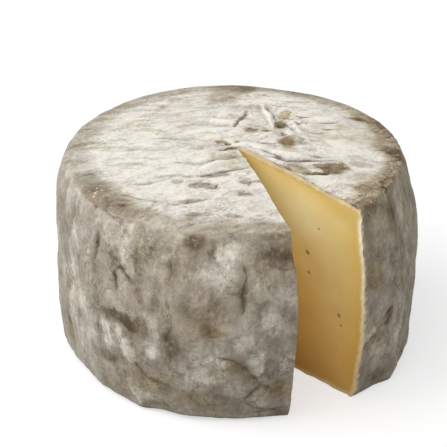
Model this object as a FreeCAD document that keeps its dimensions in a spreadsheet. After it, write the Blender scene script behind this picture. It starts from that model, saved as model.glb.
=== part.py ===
"""A small goat tomme: a tall, barrel-sided wheel of cheese with one slim wedge cut out of it.

The wheel is one solid. Its curd was drained and pressed by hand, so no two of its outlines are
alike: a loft runs through one uneven outline for each level, a turned press form gives it the
domed top, and the cloth that it drained in was gathered off the middle, where its pleats stand as
a fan of long low ridges. Then the top rim and the foot are rounded over and the foot's middle is
drawn in a little. The knife takes out a wedge that runs from the side to the wheel's axis, and
its two faces open a few small eyes in the paste.

Frame: +Z up, the wheel stands on its foot at Z = 0, and the wedge is missing from the front, -Y.
Azimuths are measured from -Y towards +X.
"""

import FreeCAD, Part
import math
import os

import Sketcher

doc = FreeCAD.newDocument("GoatTomme")

# ---------------------------------------------------------------- driving sizes, in mm and degrees
SIZES = [
    ("belly_radius", 80.0, "mean radius at the widest level"),
    ("foot_radius", 73.9, "mean radius at the foot before it is rounded over"),
    ("rim_radius", 73.4, "mean radius at the top rim before it is rounded over"),
    ("wheel_height", 95.5, "height at the middle of the top"),
    ("dome_rise", 3.7, "how far the middle of the top stands above the rim"),
    ("belly_level", 50.5, "height of the widest level"),
    ("rim_rounding", 2.4, "radius of the edge round the top"),
    ("foot_rounding", 5.0, "radius of the edge round the foot"),
    ("foot_hollow", 1.2, "how far the middle of the foot is drawn in"),
    ("foot_ring", 11.0, "width of the ring that the wheel stands on, before it is rounded"),
    ("foot_ramp", 4.0, "width of the slope from the ring up to the drawn-in middle"),
    ("foot_slip", 1.2, "how far the foot has slipped sideways"),
    ("foot_slip_azimuth", -175.0, "which way the foot has slipped"),
    ("foot_oval", 2.4, "how far the foot is out of round, as two lobes"),
    ("foot_oval_azimuth", 48.0, "where one of the foot's two lobes points"),
    ("foot_slump", 1.5, "how far the foot sags, as three lobes"),
    ("foot_slump_azimuth", -35.0, "where one of the foot's three lobes points"),
    ("foot_square", 1.4, "how far the foot is squared, as four lobes"),
    ("foot_square_azimuth", 32.0, "where one of the foot's four lobes points"),
    ("belly_oval", 1.3, "how far the belly is out of round, as two lobes"),
    ("belly_oval_azimuth", -21.0, "where one of the belly's two lobes points"),
    ("belly_slump", 2.4, "how far the belly sags, as three lobes"),
    ("belly_slump_azimuth", -40.0, "where one of the belly's three lobes points"),
    ("rim_slip", 1.3, "how far the rim has slipped sideways"),
    ("rim_slip_azimuth", -115.0, "which way the rim has slipped"),
    ("axis_left", 1.7, "how far to the left of the origin the wheel's axis stands"),
    ("axis_forward", 1.2, "how far in front of the origin the wheel's axis stands"),
    ("wedge_angle", 25.6, "angle of the missing wedge"),
    ("knife_past_axis", 0.4, "how far behind the axis the two cuts meet"),
    ("gather_x", 26.0, "how far to the right of the axis the cloth was gathered"),
    ("gather_y", 5.0, "how far behind the axis the cloth was gathered"),
    ("pleat_burial", 0.5, "how deep a pleat's two ends run out under the top"),
    ("tool_margin", 20.0, "how far the press form and the knife reach beyond the wheel"),
]

# Each pleat runs between two points that are given round the gathering point, by azimuth and
# distance. The other numbers say how far its middle bows to the left of that run, how high it
# stands and how broad it is.
PLEATS = [
    (-76.0, 25.0, 4.0, 31.0, -5.9, 1.3, 7.0),
    (164.0, 24.0, 179.0, 4.5, 0.6, 1.2, 3.8),
    (118.0, 7.5, 12.0, 10.5, -1.4, 1.1, 3.2),
    (-83.0, 14.0, -60.0, 3.0, -1.2, 1.0, 3.0),
    (-38.0, 11.0, 6.0, 15.5, 2.2, 0.9, 3.2),
    (113.0, 13.0, 83.0, 32.0, 1.5, 0.8, 3.8),
    (135.0, 13.0, 102.0, 43.0, 1.5, 0.7, 3.6),
    (-69.0, 30.0, -83.0, 52.0, 1.0, 0.9, 3.8),
    (-59.0, 37.0, -75.0, 60.0, -1.0, 0.8, 4.0),
    (-93.0, 16.0, -97.0, 54.0, 2.0, 1.1, 4.6),
    (-122.0, 15.0, -113.0, 48.0, -2.0, 0.9, 4.2),
    (-152.0, 12.0, -140.0, 42.0, 1.5, 0.8, 4.0),
]
PLEAT_MEANINGS = [
    ("from_turn", "azimuth of its start, seen from the gathering point"),
    ("from_reach", "distance from the gathering point to its start"),
    ("to_turn", "azimuth of its end, seen from the gathering point"),
    ("to_reach", "distance from the gathering point to its end"),
    ("bow", "how far its middle stands to the left of a straight run"),
    ("rise", "how high it stands"),
    ("breadth", "how broad it is"),
]

# Each eye opens in one cut face: the face's side, the distance from where the two cuts meet, its
# level and its width.
EYES = [
    (1, 44.5, 60.0, 2.4),
    (1, 45.3, 50.6, 1.8),
    (1, 51.0, 73.8, 1.4),
    (1, 63.6, 36.6, 2.2),
    (1, 64.8, 32.2, 1.6),
    (-1, 33.0, 66.0, 1.8),
    (-1, 52.0, 31.0, 2.4),
    (-1, 55.5, 27.5, 1.5),
    (-1, 61.0, 58.0, 2.0),
]
EYE_MEANINGS = [
    ("side", "1 on the right-hand cut face, -1 on the left-hand one"),
    ("reach", "distance from where the two cuts meet"),
    ("level", "height"),
    ("width", "how wide it is"),
]


def rows_of(kind, entries, meanings):
    """Names each number of a list of like pieces, such as pleat2_rise."""
    for number, entry in enumerate(entries, start=1):
        for value, (part, meaning) in zip(entry, meanings):
            yield f"{kind}{number}_{part}", value, f"{kind} {number}: {meaning}"


sheet = doc.addObject("Spreadsheet::Sheet", "Sizes")
all_sizes = SIZES + list(rows_of("pleat", PLEATS, PLEAT_MEANINGS))
all_sizes += list(rows_of("eye", EYES, EYE_MEANINGS))
for row, (alias, value, meaning) in enumerate(all_sizes, start=1):
    sheet.set(f"A{row}", alias)
    sheet.set(f"B{row}", str(value))
    sheet.set(f"C{row}", meaning)
    sheet.setAlias(f"B{row}", alias)
doc.recompute()


def size(alias):
    """The number that the sheet holds under this alias."""
    return float(sheet.get(alias))


def heading(azimuth):
    """Unit vector of an azimuth in degrees, counted from -Y towards +X."""
    turn = math.radians(azimuth)
    return FreeCAD.Vector(math.sin(turn), -math.cos(turn), 0)


def on_axis(level):
    """The point of the wheel's axis at one height."""
    return FreeCAD.Vector(-size("axis_left"), -size("axis_forward"), level)


# ---------------------------------------------------------------- the uneven outlines
LOFT_LEVELS = 7
POINTS_ROUND = 24

# How many lobes each kind of unevenness makes round the wheel, at each of its three levels.
FOOT_WAVES = [(1, "foot_slip"), (2, "foot_oval"), (3, "foot_slump"), (4, "foot_square")]
BELLY_WAVES = [(2, "belly_oval"), (3, "belly_slump")]
RIM_WAVES = [(1, "rim_slip")]


def unevenness(waves, where):
    """How far an outline stands out at one azimuth, with all its waves added up."""
    total = 0.0
    for lobes, alias in waves:
        from_crest = math.radians(where - size(f"{alias}_azimuth"))
        total += size(alias) * math.cos(lobes * from_crest)
    return total


def outline_radius(level, where):
    """Radius of the wheel's skin at one height and azimuth, before its edges are rounded."""
    belly, rim_level = size("belly_level"), size("wheel_height") - size("dome_rise")
    below = max(0.0, (belly - level) / belly)
    above = max(0.0, (level - belly) / (rim_level - belly))
    radius = size("belly_radius")
    radius -= (size("belly_radius") - size("foot_radius")) * below**2
    radius -= (size("belly_radius") - size("rim_radius")) * above**2
    radius += below * unevenness(FOOT_WAVES, where)
    radius += (1 - below - above) * unevenness(BELLY_WAVES, where)
    radius += above * unevenness(RIM_WAVES, where)
    return radius


def outline(name, level):
    """A closed smooth curve round the wheel at one height."""
    turns = [360.0 * k / POINTS_ROUND for k in range(POINTS_ROUND)]
    points = [on_axis(level) + heading(turn) * outline_radius(level, turn) for turn in turns]
    curve = Part.BSplineCurve()
    curve.interpolate(Points=points, PeriodicFlag=True)
    ring = doc.addObject("Part::Feature", name)
    ring.Shape = Part.Wire([curve.toShape()])
    return ring


loft_top = size("wheel_height") + size("dome_rise")
rings = [outline(f"Outline{k}", loft_top * k / (LOFT_LEVELS - 1)) for k in range(LOFT_LEVELS)]

barrel = doc.addObject("Part::Loft", "Barrel")
barrel.Sections = rings
barrel.Solid = True
barrel.Ruled = False


# ---------------------------------------------------------------- sketch helpers
def plane_of(body, role):
    """One of a body's own origin planes, found by its role."""
    return next(item for item in body.Origin.OriginFeatures if item.Role == role)


def sketch_on(body, name, role):
    """A new sketch that lies on one of the body's origin planes."""
    sketch = body.newObject("Sketcher::SketchObject", name)
    sketch.AttachmentSupport = (plane_of(body, role), [""])
    sketch.MapMode = "FlatFace"
    return sketch


START, END = 1, 2
ORIGIN_POINT = (-1, 1)
VERTICAL_AXIS = -2


def join(sketch, first, first_end, second, second_end):
    """Ties the end of one line or arc to the end of another."""
    sketch.addConstraint(Sketcher.Constraint("Coincident", first, first_end, second, second_end))


def driven(sketch, constraint, expression):
    """Adds a dimension to a sketch and lets the sheet drive it."""
    index = sketch.addConstraint(constraint)
    sketch.setExpression(f"Constraints[{index}]", expression)
    return index


def dimension(sketch, kind, line, length, expression):
    """Gives a line its width or height from the sheet."""
    driven(sketch, Sketcher.Constraint(kind, line, START, line, END, length), expression)


# ---------------------------------------------------------------- the press form with its domed lid
press = doc.addObject("PartDesign::Body", "PressForm")
profile = sketch_on(press, "PressProfile", "XZ_Plane")

wide = size("belly_radius") + size("tool_margin")
tall, rise = size("wheel_height"), size("dome_rise")
dome_radius = (size("rim_radius") ** 2 + rise**2) / (2 * rise)


def dome_level(point):
    """Height of the top's smooth dome above a point of the table."""
    off_axis = (point - on_axis(point.z)).Length
    return tall - dome_radius + math.sqrt(dome_radius**2 - off_axis**2)


corner_in, corner_out = FreeCAD.Vector(0, 0, 0), FreeCAD.Vector(wide, 0, 0)
lid_edge = FreeCAD.Vector(wide, tall - dome_radius + math.sqrt(dome_radius**2 - wide**2), 0)
lid_middle = FreeCAD.Vector(0, tall, 0)
lid_centre = FreeCAD.Vector(0, tall - dome_radius, 0)
start_turn = math.atan2(lid_edge.y - lid_centre.y, lid_edge.x - lid_centre.x)
lid_circle = Part.Circle(lid_centre, FreeCAD.Vector(0, 0, 1), dome_radius)
table = profile.addGeometry(Part.LineSegment(corner_in, corner_out))
wall = profile.addGeometry(Part.LineSegment(corner_out, lid_edge))
lid = profile.addGeometry(Part.ArcOfCircle(lid_circle, start_turn, math.pi / 2))
axle = profile.addGeometry(Part.LineSegment(corner_in, lid_middle))
join(profile, table, END, wall, START)
join(profile, wall, END, lid, START)
join(profile, lid, END, axle, END)
join(profile, axle, START, table, START)
join(profile, table, START, *ORIGIN_POINT)
profile.addConstraint(Sketcher.Constraint("Horizontal", table))
profile.addConstraint(Sketcher.Constraint("Vertical", wall))
profile.addConstraint(Sketcher.Constraint("Vertical", axle))
profile.addConstraint(Sketcher.Constraint("PointOnObject", lid, 3, VERTICAL_AXIS))
dimension(profile, "DistanceX", table, wide, "Sizes.belly_radius + Sizes.tool_margin")
dimension(profile, "DistanceY", axle, tall, "Sizes.wheel_height")
driven(
    profile,
    Sketcher.Constraint("Radius", lid, dome_radius),
    "(Sizes.rim_radius ^ 2 + Sizes.dome_rise ^ 2) / (2 * Sizes.dome_rise)",
)
turned = press.newObject("PartDesign::Revolution", "TurnedPress")
turned.Profile = profile
turned.ReferenceAxis = (profile, ["V_Axis"])
turned.Angle = 360.0
press.setExpression("Placement.Base.x", "-Sizes.axis_left")
press.setExpression("Placement.Base.y", "-Sizes.axis_forward")

pressed = doc.addObject("Part::Common", "PressedCurd")
pressed.Base = barrel
pressed.Tool = press
doc.recompute()


# ---------------------------------------------------------------- the pleats of the cloth
def pleat(number):
    """A long low ridge: a ring segment that rises out of the dome and runs out under it again."""
    from_turn, from_reach, to_turn, to_reach, bow, rise, breadth = (
        size(f"pleat{number}_{part}") for part, _ in PLEAT_MEANINGS
    )
    thickness = (breadth**2 / 4 + rise**2) / (2 * rise)
    gather = on_axis(0) + FreeCAD.Vector(size("gather_x"), size("gather_y"), 0)

    def spine_point(place, above):
        """The point of the ring's middle line whose back is this far above the dome."""
        return FreeCAD.Vector(place.x, place.y, dome_level(place) + above - thickness)

    start = gather + heading(from_turn) * from_reach
    finish = gather + heading(to_turn) * to_reach
    run = (finish - start).normalize()
    middle = (start + finish) * 0.5 + FreeCAD.Vector(-run.y, run.x, 0) * bow
    first = spine_point(start, -size("pleat_burial"))
    last = spine_point(finish, -size("pleat_burial"))
    spine = Part.Arc(first, spine_point(middle, rise), last).toShape().Curve
    outwards = (first - spine.Center).normalize()
    sweep = math.degrees((first - spine.Center).getAngle(last - spine.Center))
    ring = doc.addObject("Part::Torus", f"Pleat{number}")
    ring.Radius1 = spine.Radius
    ring.Angle3 = sweep
    height = f"Sizes.pleat{number}_rise"
    half_breadth = f"Sizes.pleat{number}_breadth / 2"
    ring.setExpression("Radius2", f"(({half_breadth}) ^ 2 + {height} ^ 2) / (2 * {height})")
    turned_to = FreeCAD.Rotation(outwards, spine.Axis.cross(outwards), spine.Axis, "ZXY")
    ring.Placement = FreeCAD.Placement(spine.Center, turned_to)
    return ring


blank = doc.addObject("Part::MultiFuse", "PleatedCurd")
blank.Shapes = [pressed] + [pleat(number) for number in range(1, len(PLEATS) + 1)]
doc.recompute()

# ---------------------------------------------------------------- the wheel: rounded, hollowed, cut
wheel = doc.addObject("PartDesign::Body", "Wheel")
wheel.Label = "tomme_wheel"
wheel.BaseFeature = blank
doc.recompute()


def edges_round_the_side(feature, low, high):
    """Names of the edges that run round the wheel's side wholly between two heights."""
    found = []
    for number, edge in enumerate(feature.Shape.Edges, start=1):
        box = edge.BoundBox
        reach = max(abs(box.XMin), abs(box.XMax), abs(box.YMin), abs(box.YMax))
        if box.ZMin >= low and box.ZMax <= high and reach > size("rim_radius") * 0.9:
            found.append(f"Edge{number}")
    return found


def rounded(name, low, high, radius_alias):
    """Rounds over the wheel's edge that lies between two heights."""
    before = wheel.Tip
    fillet = wheel.newObject("PartDesign::Fillet", name)
    fillet.Base = (before, edges_round_the_side(before, low, high))
    fillet.setExpression("Radius", f"Sizes.{radius_alias}")
    doc.recompute()
    return fillet


half_height = size("wheel_height") / 2
rounded("RimRounding", half_height, size("wheel_height") + 1.0, "rim_rounding")
rounded("FootRounding", -1.0, half_height / 2, "foot_rounding")

hollow = sketch_on(wheel, "FootHollow", "XZ_Plane")
hollow.setExpression("AttachmentOffset.Base.x", "-Sizes.axis_left")
hollow.setExpression("AttachmentOffset.Base.z", "Sizes.axis_forward")
ring_inside = size("foot_radius") - size("foot_ring")
ramp_top = ring_inside - size("foot_ramp")
depth = size("foot_hollow")
hollow_corners = [
    FreeCAD.Vector(0, 0, 0),
    FreeCAD.Vector(ring_inside, 0, 0),
    FreeCAD.Vector(ramp_top, depth, 0),
    FreeCAD.Vector(0, depth, 0),
]
mouth, ramp, ceiling, middle = (
    hollow.addGeometry(Part.LineSegment(here, there))
    for here, there in zip(hollow_corners, hollow_corners[1:] + hollow_corners[:1])
)
join(hollow, mouth, END, ramp, START)
join(hollow, ramp, END, ceiling, START)
join(hollow, ceiling, END, middle, START)
join(hollow, middle, END, mouth, START)
join(hollow, mouth, START, *ORIGIN_POINT)
hollow.addConstraint(Sketcher.Constraint("Horizontal", mouth))
hollow.addConstraint(Sketcher.Constraint("Horizontal", ceiling))
hollow.addConstraint(Sketcher.Constraint("Vertical", middle))
inside = "Sizes.foot_radius - Sizes.foot_ring"
dimension(hollow, "DistanceX", mouth, ring_inside, inside)
ceiling_width = Sketcher.Constraint("DistanceX", ceiling, END, ceiling, START, ramp_top)
driven(hollow, ceiling_width, f"{inside} - Sizes.foot_ramp")
hollow_depth = Sketcher.Constraint("DistanceY", middle, END, middle, START, depth)
driven(hollow, hollow_depth, "Sizes.foot_hollow")
drawn_in = wheel.newObject("PartDesign::Groove", "DrawnInFoot")
drawn_in.Profile = hollow
drawn_in.ReferenceAxis = (hollow, ["V_Axis"])
drawn_in.Angle = 360.0
doc.recompute()

knife = sketch_on(wheel, "KnifeCuts", "XY_Plane")
knife.setExpression("AttachmentOffset.Base.x", "-Sizes.axis_left")
knife.setExpression("AttachmentOffset.Base.y", "-Sizes.axis_forward")
meet = FreeCAD.Vector(0, size("knife_past_axis"), 0)
half_wedge = size("wedge_angle") / 2
left_end, right_end = meet + heading(-half_wedge) * wide, meet + heading(half_wedge) * wide
left_cut = knife.addGeometry(Part.LineSegment(meet, left_end))
across = knife.addGeometry(Part.LineSegment(left_end, right_end))
right_cut = knife.addGeometry(Part.LineSegment(right_end, meet))
join(knife, left_cut, END, across, START)
join(knife, across, END, right_cut, START)
join(knife, right_cut, END, left_cut, START)
knife.addConstraint(Sketcher.Constraint("PointOnObject", left_cut, START, VERTICAL_AXIS))
knife.addConstraint(Sketcher.Constraint("Equal", left_cut, right_cut))
knife.addConstraint(Sketcher.Constraint("Horizontal", across))
driven(
    knife,
    Sketcher.Constraint("DistanceY", *ORIGIN_POINT, left_cut, START, meet.y),
    "Sizes.knife_past_axis",
)
driven(
    knife,
    Sketcher.Constraint("Distance", left_cut, wide),
    "Sizes.belly_radius + Sizes.tool_margin",
)
driven(
    knife,
    Sketcher.Constraint("Angle", left_cut, START, right_cut, END, math.radians(2 * half_wedge)),
    "Sizes.wedge_angle",
)
uncut_volume = wheel.Shape.Volume
notch = wheel.newObject("PartDesign::Pocket", "MissingWedge")
notch.Profile = knife
notch.Type = "ThroughAll"
notch.Reversed = True
doc.recompute()
taken = uncut_volume - wheel.Shape.Volume


# ---------------------------------------------------------------- the eyes in the cut faces
def eye(number):
    """A small round hollow that opens in one of the two cut faces."""
    side, reach, level = (size(f"eye{number}_{part}") for part in ("side", "reach", "level"))
    hole = wheel.newObject("PartDesign::SubtractiveSphere", f"Eye{number}")
    hole.setExpression("Radius", f"Sizes.eye{number}_width / 2")
    hole.Placement.Base = on_axis(level) + meet + heading(side * half_wedge) * reach
    doc.recompute()


for number in range(1, len(EYES) + 1):
    eye(number)

# ---------------------------------------------------------------- checks and export
for item in doc.Objects:
    if "Invalid" in item.State or "Error" in item.State:
        raise RuntimeError(f"{item.Name} was not built: {item.State}")

solid = wheel.Shape
if solid.isNull() or not solid.isValid() or len(solid.Solids) != 1:
    raise RuntimeError("the wheel is not one valid solid")
expected = uncut_volume * size("wedge_angle") / 360.0
if not 0.8 * expected < taken < 1.2 * expected:
    raise RuntimeError(f"the missing wedge holds {taken:.0f} mm3, and not about {expected:.0f}")
largest_eye = max(width for *_, width in EYES)
balls = [face.Surface for face in solid.Faces if isinstance(face.Surface, Part.Sphere)]
open_eyes = {ball.Center.y for ball in balls if ball.Radius <= largest_eye / 2}
if len(open_eyes) != len(EYES):
    raise RuntimeError(f"{len(open_eyes)} eyes open in the cut faces, and not {len(EYES)}")

os.makedirs("parts", exist_ok=True)
solid.exportStep(os.path.join("parts", f"{wheel.Label}.step"))
box = solid.optimalBoundingBox()
print(f"{wheel.Label}: {box.XLength:.1f} x {box.YLength:.1f} x {box.ZLength:.1f} mm")
print(f"x {box.XMin:.2f} to {box.XMax:.2f}, y {box.YMin:.2f} to {box.YMax:.2f}")
print(f"pleats stand {box.ZMax - size('wheel_height'):.2f} mm above the middle of the dome")
print(f"volume {solid.Volume / 1000:.1f} cm3, wedge taken out {taken / 1000:.1f} cm3")
print(f"{len(solid.Faces)} faces, {len(open_eyes)} eyes")
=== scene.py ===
# %% [markdown]
# # A goat tomme with one wedge cut out
#
# A tomme is a small wheel of cheese that drains in a cloth, is pressed in a form and then ripens
# for weeks on a board, where a grey rind of moulds grows over it. This lesson dresses a plain
# pressed wheel as such a cheese: first the camera, the table and the light, then the wheel's skin
# with its folds and dents, then the two faces that the knife left, and last the colours.
#
# All sizes in the file are in metres in Blender. The lists of dents, folds and patches are in
# millimetres and degrees, because that is how a maker would measure them on the cheese.

import math
from types import SimpleNamespace

import bpy
import numpy as np
from mathutils import Matrix, Vector, geometry, noise
from mathutils.bvhtree import BVHTree


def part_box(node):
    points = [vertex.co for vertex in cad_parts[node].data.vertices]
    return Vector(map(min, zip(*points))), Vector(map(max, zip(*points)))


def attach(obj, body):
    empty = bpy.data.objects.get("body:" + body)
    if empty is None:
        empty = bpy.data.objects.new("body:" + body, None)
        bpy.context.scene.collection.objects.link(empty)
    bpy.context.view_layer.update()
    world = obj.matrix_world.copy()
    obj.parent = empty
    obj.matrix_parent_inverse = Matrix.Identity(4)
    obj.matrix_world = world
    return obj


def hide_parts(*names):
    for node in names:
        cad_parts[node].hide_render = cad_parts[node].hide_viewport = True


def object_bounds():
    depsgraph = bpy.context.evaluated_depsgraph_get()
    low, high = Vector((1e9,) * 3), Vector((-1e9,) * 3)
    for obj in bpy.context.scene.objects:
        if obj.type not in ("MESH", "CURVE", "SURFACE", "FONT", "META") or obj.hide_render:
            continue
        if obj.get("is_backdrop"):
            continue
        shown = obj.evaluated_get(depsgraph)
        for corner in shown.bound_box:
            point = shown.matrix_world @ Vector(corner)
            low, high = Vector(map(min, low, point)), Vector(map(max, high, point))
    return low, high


MM = 0.001
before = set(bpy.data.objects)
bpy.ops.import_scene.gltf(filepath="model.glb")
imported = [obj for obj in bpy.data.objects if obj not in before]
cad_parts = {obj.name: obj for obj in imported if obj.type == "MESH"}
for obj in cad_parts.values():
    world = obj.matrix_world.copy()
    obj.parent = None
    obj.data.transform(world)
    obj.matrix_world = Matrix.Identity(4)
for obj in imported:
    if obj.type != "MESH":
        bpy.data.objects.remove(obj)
pressed_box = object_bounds()
pressed_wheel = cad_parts["tomme_wheel"]
foot_corner, top_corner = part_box("tomme_wheel")
tall = (top_corner.z - foot_corner.z) / MM
print(f"the pressed wheel is {tall:.1f} mm tall and has {len(pressed_wheel.data.vertices)} points")

# %% [markdown]
# ## The camera
#
# A cheese looks natural when it is seen from a little above the table, with the notch turned
# towards the viewer. A long lens far away keeps the wheel's sides nearly parallel. The camera's
# place is worked out from the direction in which it stands, so one turn or tilt is one number.


# %% Set up the camera
def towards(azimuth, elevation):
    """Unit vector from the cheese towards something that stands round it, both in degrees."""
    turn, lift = math.radians(azimuth), math.radians(elevation)
    flat = math.cos(lift)
    return Vector((math.sin(turn) * flat, -math.cos(turn) * flat, math.sin(lift)))


CAMERA_AZIMUTH, CAMERA_ELEVATION, CAMERA_DISTANCE = -31.26, 27.26, 1.3
wheel_middle = Vector((-1.7, -1.2, 47.5)) * MM
backwards = towards(CAMERA_AZIMUTH, CAMERA_ELEVATION)
rightwards = Vector((0, 0, 1)).cross(backwards).normalized()
upwards = backwards.cross(rightwards)

camera_data = bpy.data.cameras.new("TableCamera")
camera_data.lens = 237.35
camera_data.sensor_width = 36.0
camera = bpy.data.objects.new("TableCamera", camera_data)
aside = rightwards * -5.27 * MM + upwards * 9.26 * MM
camera.matrix_world = Matrix.Translation(wheel_middle + backwards * CAMERA_DISTANCE + aside) @ (
    Matrix((rightwards, upwards, backwards)).transposed().to_4x4()
)
bpy.context.scene.collection.objects.link(camera)
bpy.context.scene.camera = camera
bpy.context.scene.view_settings.view_transform = "Standard"
print(f"the camera stands {CAMERA_DISTANCE} m away, {CAMERA_ELEVATION} degrees above the table")

# %% [markdown]
# ## Nodes by name
#
# Every finish below is a small tree of shader nodes. One helper adds a node, fills its sockets
# and links it, so that each tree reads like a recipe from top to bottom.


# %% A helper for shader trees
def add_node(tree, kind, sockets=None, **settings):
    """Adds a node. A socket is filled with a plain value or linked to another node's output."""
    made = tree.nodes.new(kind)
    for name, value in settings.items():
        setattr(made, name, value)
    for name, value in (sockets or {}).items():
        if isinstance(value, bpy.types.NodeSocket):
            tree.links.new(value, made.inputs[name])
        else:
            made.inputs[name].default_value = value
    return made


def empty_tree(owner):
    """The owner's node tree with nothing in it."""
    owner.use_nodes = True
    owner.node_tree.nodes.clear()
    return owner.node_tree


def seen_directly(tree):
    """1 where the camera, a reflection or a clear thing looks straight at the surface."""
    path = add_node(tree, "ShaderNodeLightPath").outputs
    glossy = add_node(
        tree,
        "ShaderNodeMath",
        {0: path["Is Camera Ray"], 1: path["Is Glossy Ray"]},
        operation="MAXIMUM",
    )
    return add_node(
        tree,
        "ShaderNodeMath",
        {0: glossy.outputs[0], 1: path["Is Transmission Ray"]},
        operation="MAXIMUM",
    ).outputs[0]


print("shader helpers are ready")

# %% [markdown]
# ## The table and the backdrop
#
# The cheese stands on a plain pale table that runs on past the edge of the view. Its paint
# sends a moderate light back up to the cheese. To the camera it looks white, and it keeps
# the soft shadow under the wheel. The backdrop is the world, which is white to the camera too.


# %% Make the table and the backdrop
def table_finish():
    """A pale paint that looks white to the camera and still takes a shadow."""
    paint = bpy.data.materials.new("table_paint")
    tree = empty_tree(paint)
    dull = add_node(tree, "ShaderNodeBsdfDiffuse", {"Color": (0.45, 0.45, 0.45, 1)})
    glow = add_node(tree, "ShaderNodeEmission", {"Color": (1, 1, 1, 1), "Strength": 0.6})
    bright = add_node(tree, "ShaderNodeAddShader", {0: dull.outputs[0], 1: glow.outputs[0]})
    either = add_node(
        tree,
        "ShaderNodeMixShader",
        {0: seen_directly(tree), 1: dull.outputs[0], 2: bright.outputs[0]},
    )
    add_node(tree, "ShaderNodeOutputMaterial", {"Surface": either.outputs[0]})
    return paint


TABLE_HALF = 8.0
table_mesh = bpy.data.meshes.new("Table")
table_corners = [(-1, -1), (1, -1), (1, 1), (-1, 1)]
table_mesh.from_pydata(
    [(x * TABLE_HALF, y * TABLE_HALF, foot_corner.z - 0.1 * MM) for x, y in table_corners],
    [],
    [(0, 1, 2, 3)],
)
table_mesh.materials.append(table_finish())
table = bpy.data.objects.new("Table", table_mesh)
bpy.context.scene.collection.objects.link(table)
table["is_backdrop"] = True

SKY_FILL = 0.45
backdrop = bpy.data.worlds.new("Backdrop")
bpy.context.scene.world = backdrop
sky = empty_tree(backdrop)
fill = add_node(sky, "ShaderNodeBackground", {"Color": (1, 1, 1, 1), "Strength": SKY_FILL})
white = add_node(sky, "ShaderNodeBackground", {"Color": (1, 1, 1, 1), "Strength": 1.0})
shown = add_node(
    sky, "ShaderNodeMixShader", {0: seen_directly(sky), 1: fill.outputs[0], 2: white.outputs[0]}
)
add_node(sky, "ShaderNodeOutputWorld", {"Surface": shown.outputs[0]})
print(f"the table is {2 * TABLE_HALF:.0f} m wide, and the sky fills in at {SKY_FILL}")

# %% [markdown]
# ## The lamps
#
# Two large soft lamps light the cheese, as a window and a pale ceiling would. The window stands to
# the left and a little behind, so the left of the wheel is bright and its right turns away. The
# ceiling lamp hangs high in front and reaches down into the notch. A lamp's power is worked out
# from the brightness that it should add to a surface that faces it, so that colours come out
# about as they are written.


# %% Hang the lamps
def hang_lamp(name, azimuth, elevation, distance, width, height, brightness):
    """A soft rectangular lamp that faces the cheese from the given direction."""
    data = bpy.data.lights.new(name, "AREA")
    data.shape = "RECTANGLE"
    data.size, data.size_y = width, height
    data.energy = brightness * math.pi**2 * distance**2
    lamp = bpy.data.objects.new(name, data)
    way = towards(azimuth, elevation)
    lamp.location = wheel_middle + way * distance
    lamp.rotation_euler = way.to_track_quat("Z", "Y").to_euler()
    bpy.context.scene.collection.objects.link(lamp)
    print(f"{name} gives {data.energy:.1f} W")


# azimuth, elevation, distance, width and height in metres, and the brightness on the cheese
hang_lamp("WindowLamp", -114, 42, 2.2, 1.6, 1.4, 0.52)
hang_lamp("CeilingLamp", -62, 60, 2.2, 2.0, 2.0, 0.44)

# %% [markdown]
# ## Where the knife went
#
# The new skin has to end exactly at the two knife cuts, so they are measured on the pressed wheel
# itself. A level line is sent across the notch at two depths. The two points that it meets on one
# side give the line of that cut, and the two lines cross at the tip of the notch.


# %% Measure the notch
pressed_skin = BVHTree.FromPolygons(
    [v.co for v in pressed_wheel.data.vertices],
    [p.vertices for p in pressed_wheel.data.polygons],
)
MEASURING_LEVEL = foot_corner.z + 0.12 * tall * MM
SHALLOW, DEEP = -70 * MM, -40 * MM


def cut_line(side):
    """A cut's x at the shallow measuring line, and how fast it changes with y."""
    met = [
        pressed_skin.ray_cast(Vector((0, y, MEASURING_LEVEL)), Vector((side, 0, 0)))[0].x
        for y in (SHALLOW, DEEP)
    ]
    return met[0], (met[1] - met[0]) / (DEEP - SHALLOW)


(left_x, left_slope), (right_x, right_slope) = cut_line(-1), cut_line(1)
tip_y = SHALLOW + (right_x - left_x) / (left_slope - right_slope)
tip_x = right_x + right_slope * (tip_y - SHALLOW)
half_notch = (math.atan(left_slope) - math.atan(right_slope)) / 2
print(f"the cuts meet at ({tip_x / MM:.2f}, {tip_y / MM:.2f}) mm")
print(f"and stand {math.degrees(2 * half_notch):.1f} degrees apart")

# %% [markdown]
# ## A net over the wheel
#
# The skin is a net of points. Its columns fan out round the tip of the notch, from the right-hand
# cut all the way round to the left-hand one. Its rows run from the middle of the foot outwards,
# up the side and in over the top. Near the foot's edge and the rim the rows lie closer, because
# the surface turns quickly there. Seen from the wheel's middle, every point of the skin lies in
# a direction of its own, so one ray for each direction finds it.


# %% Choose the columns and rows of the net
COLUMNS = 420
CLOSE_TO_CUT = math.radians(0.3)
# how far apart the rows lie, in millimetres, and how near the middle the first one lies
LOOSE, MIDDLING, EVEN, CLOSE = 4.5, 1.6, 1.05, 0.8
INNERMOST = 1.5


def steps(start, stop, stride):
    """Evenly spaced numbers from start, stopping short of stop."""
    count = max(1, round(abs(stop - start) / stride))
    return list(np.linspace(start, stop, count, endpoint=False))


reach = 0.47 * (top_corner.x - foot_corner.x) / MM
foot_rows = steps(INNERMOST, 60, LOOSE) + steps(60, reach - 5, MIDDLING)
foot_rows += steps(reach - 5, reach, CLOSE)
side_rows = steps(0, 6, CLOSE) + steps(6, tall - 8, EVEN) + steps(tall - 8, tall, CLOSE)
top_rows = steps(reach, reach - 9, CLOSE) + steps(reach - 9, 50, EVEN) + steps(50, 8, CLOSE)
top_rows += steps(8, INNERMOST, 1.3) + [INNERMOST]
row_aims = [(out, 0) for out in foot_rows] + [(reach, up) for up in side_rows]
row_aims = np.array(row_aims + [(out, tall) for out in top_rows])

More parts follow.
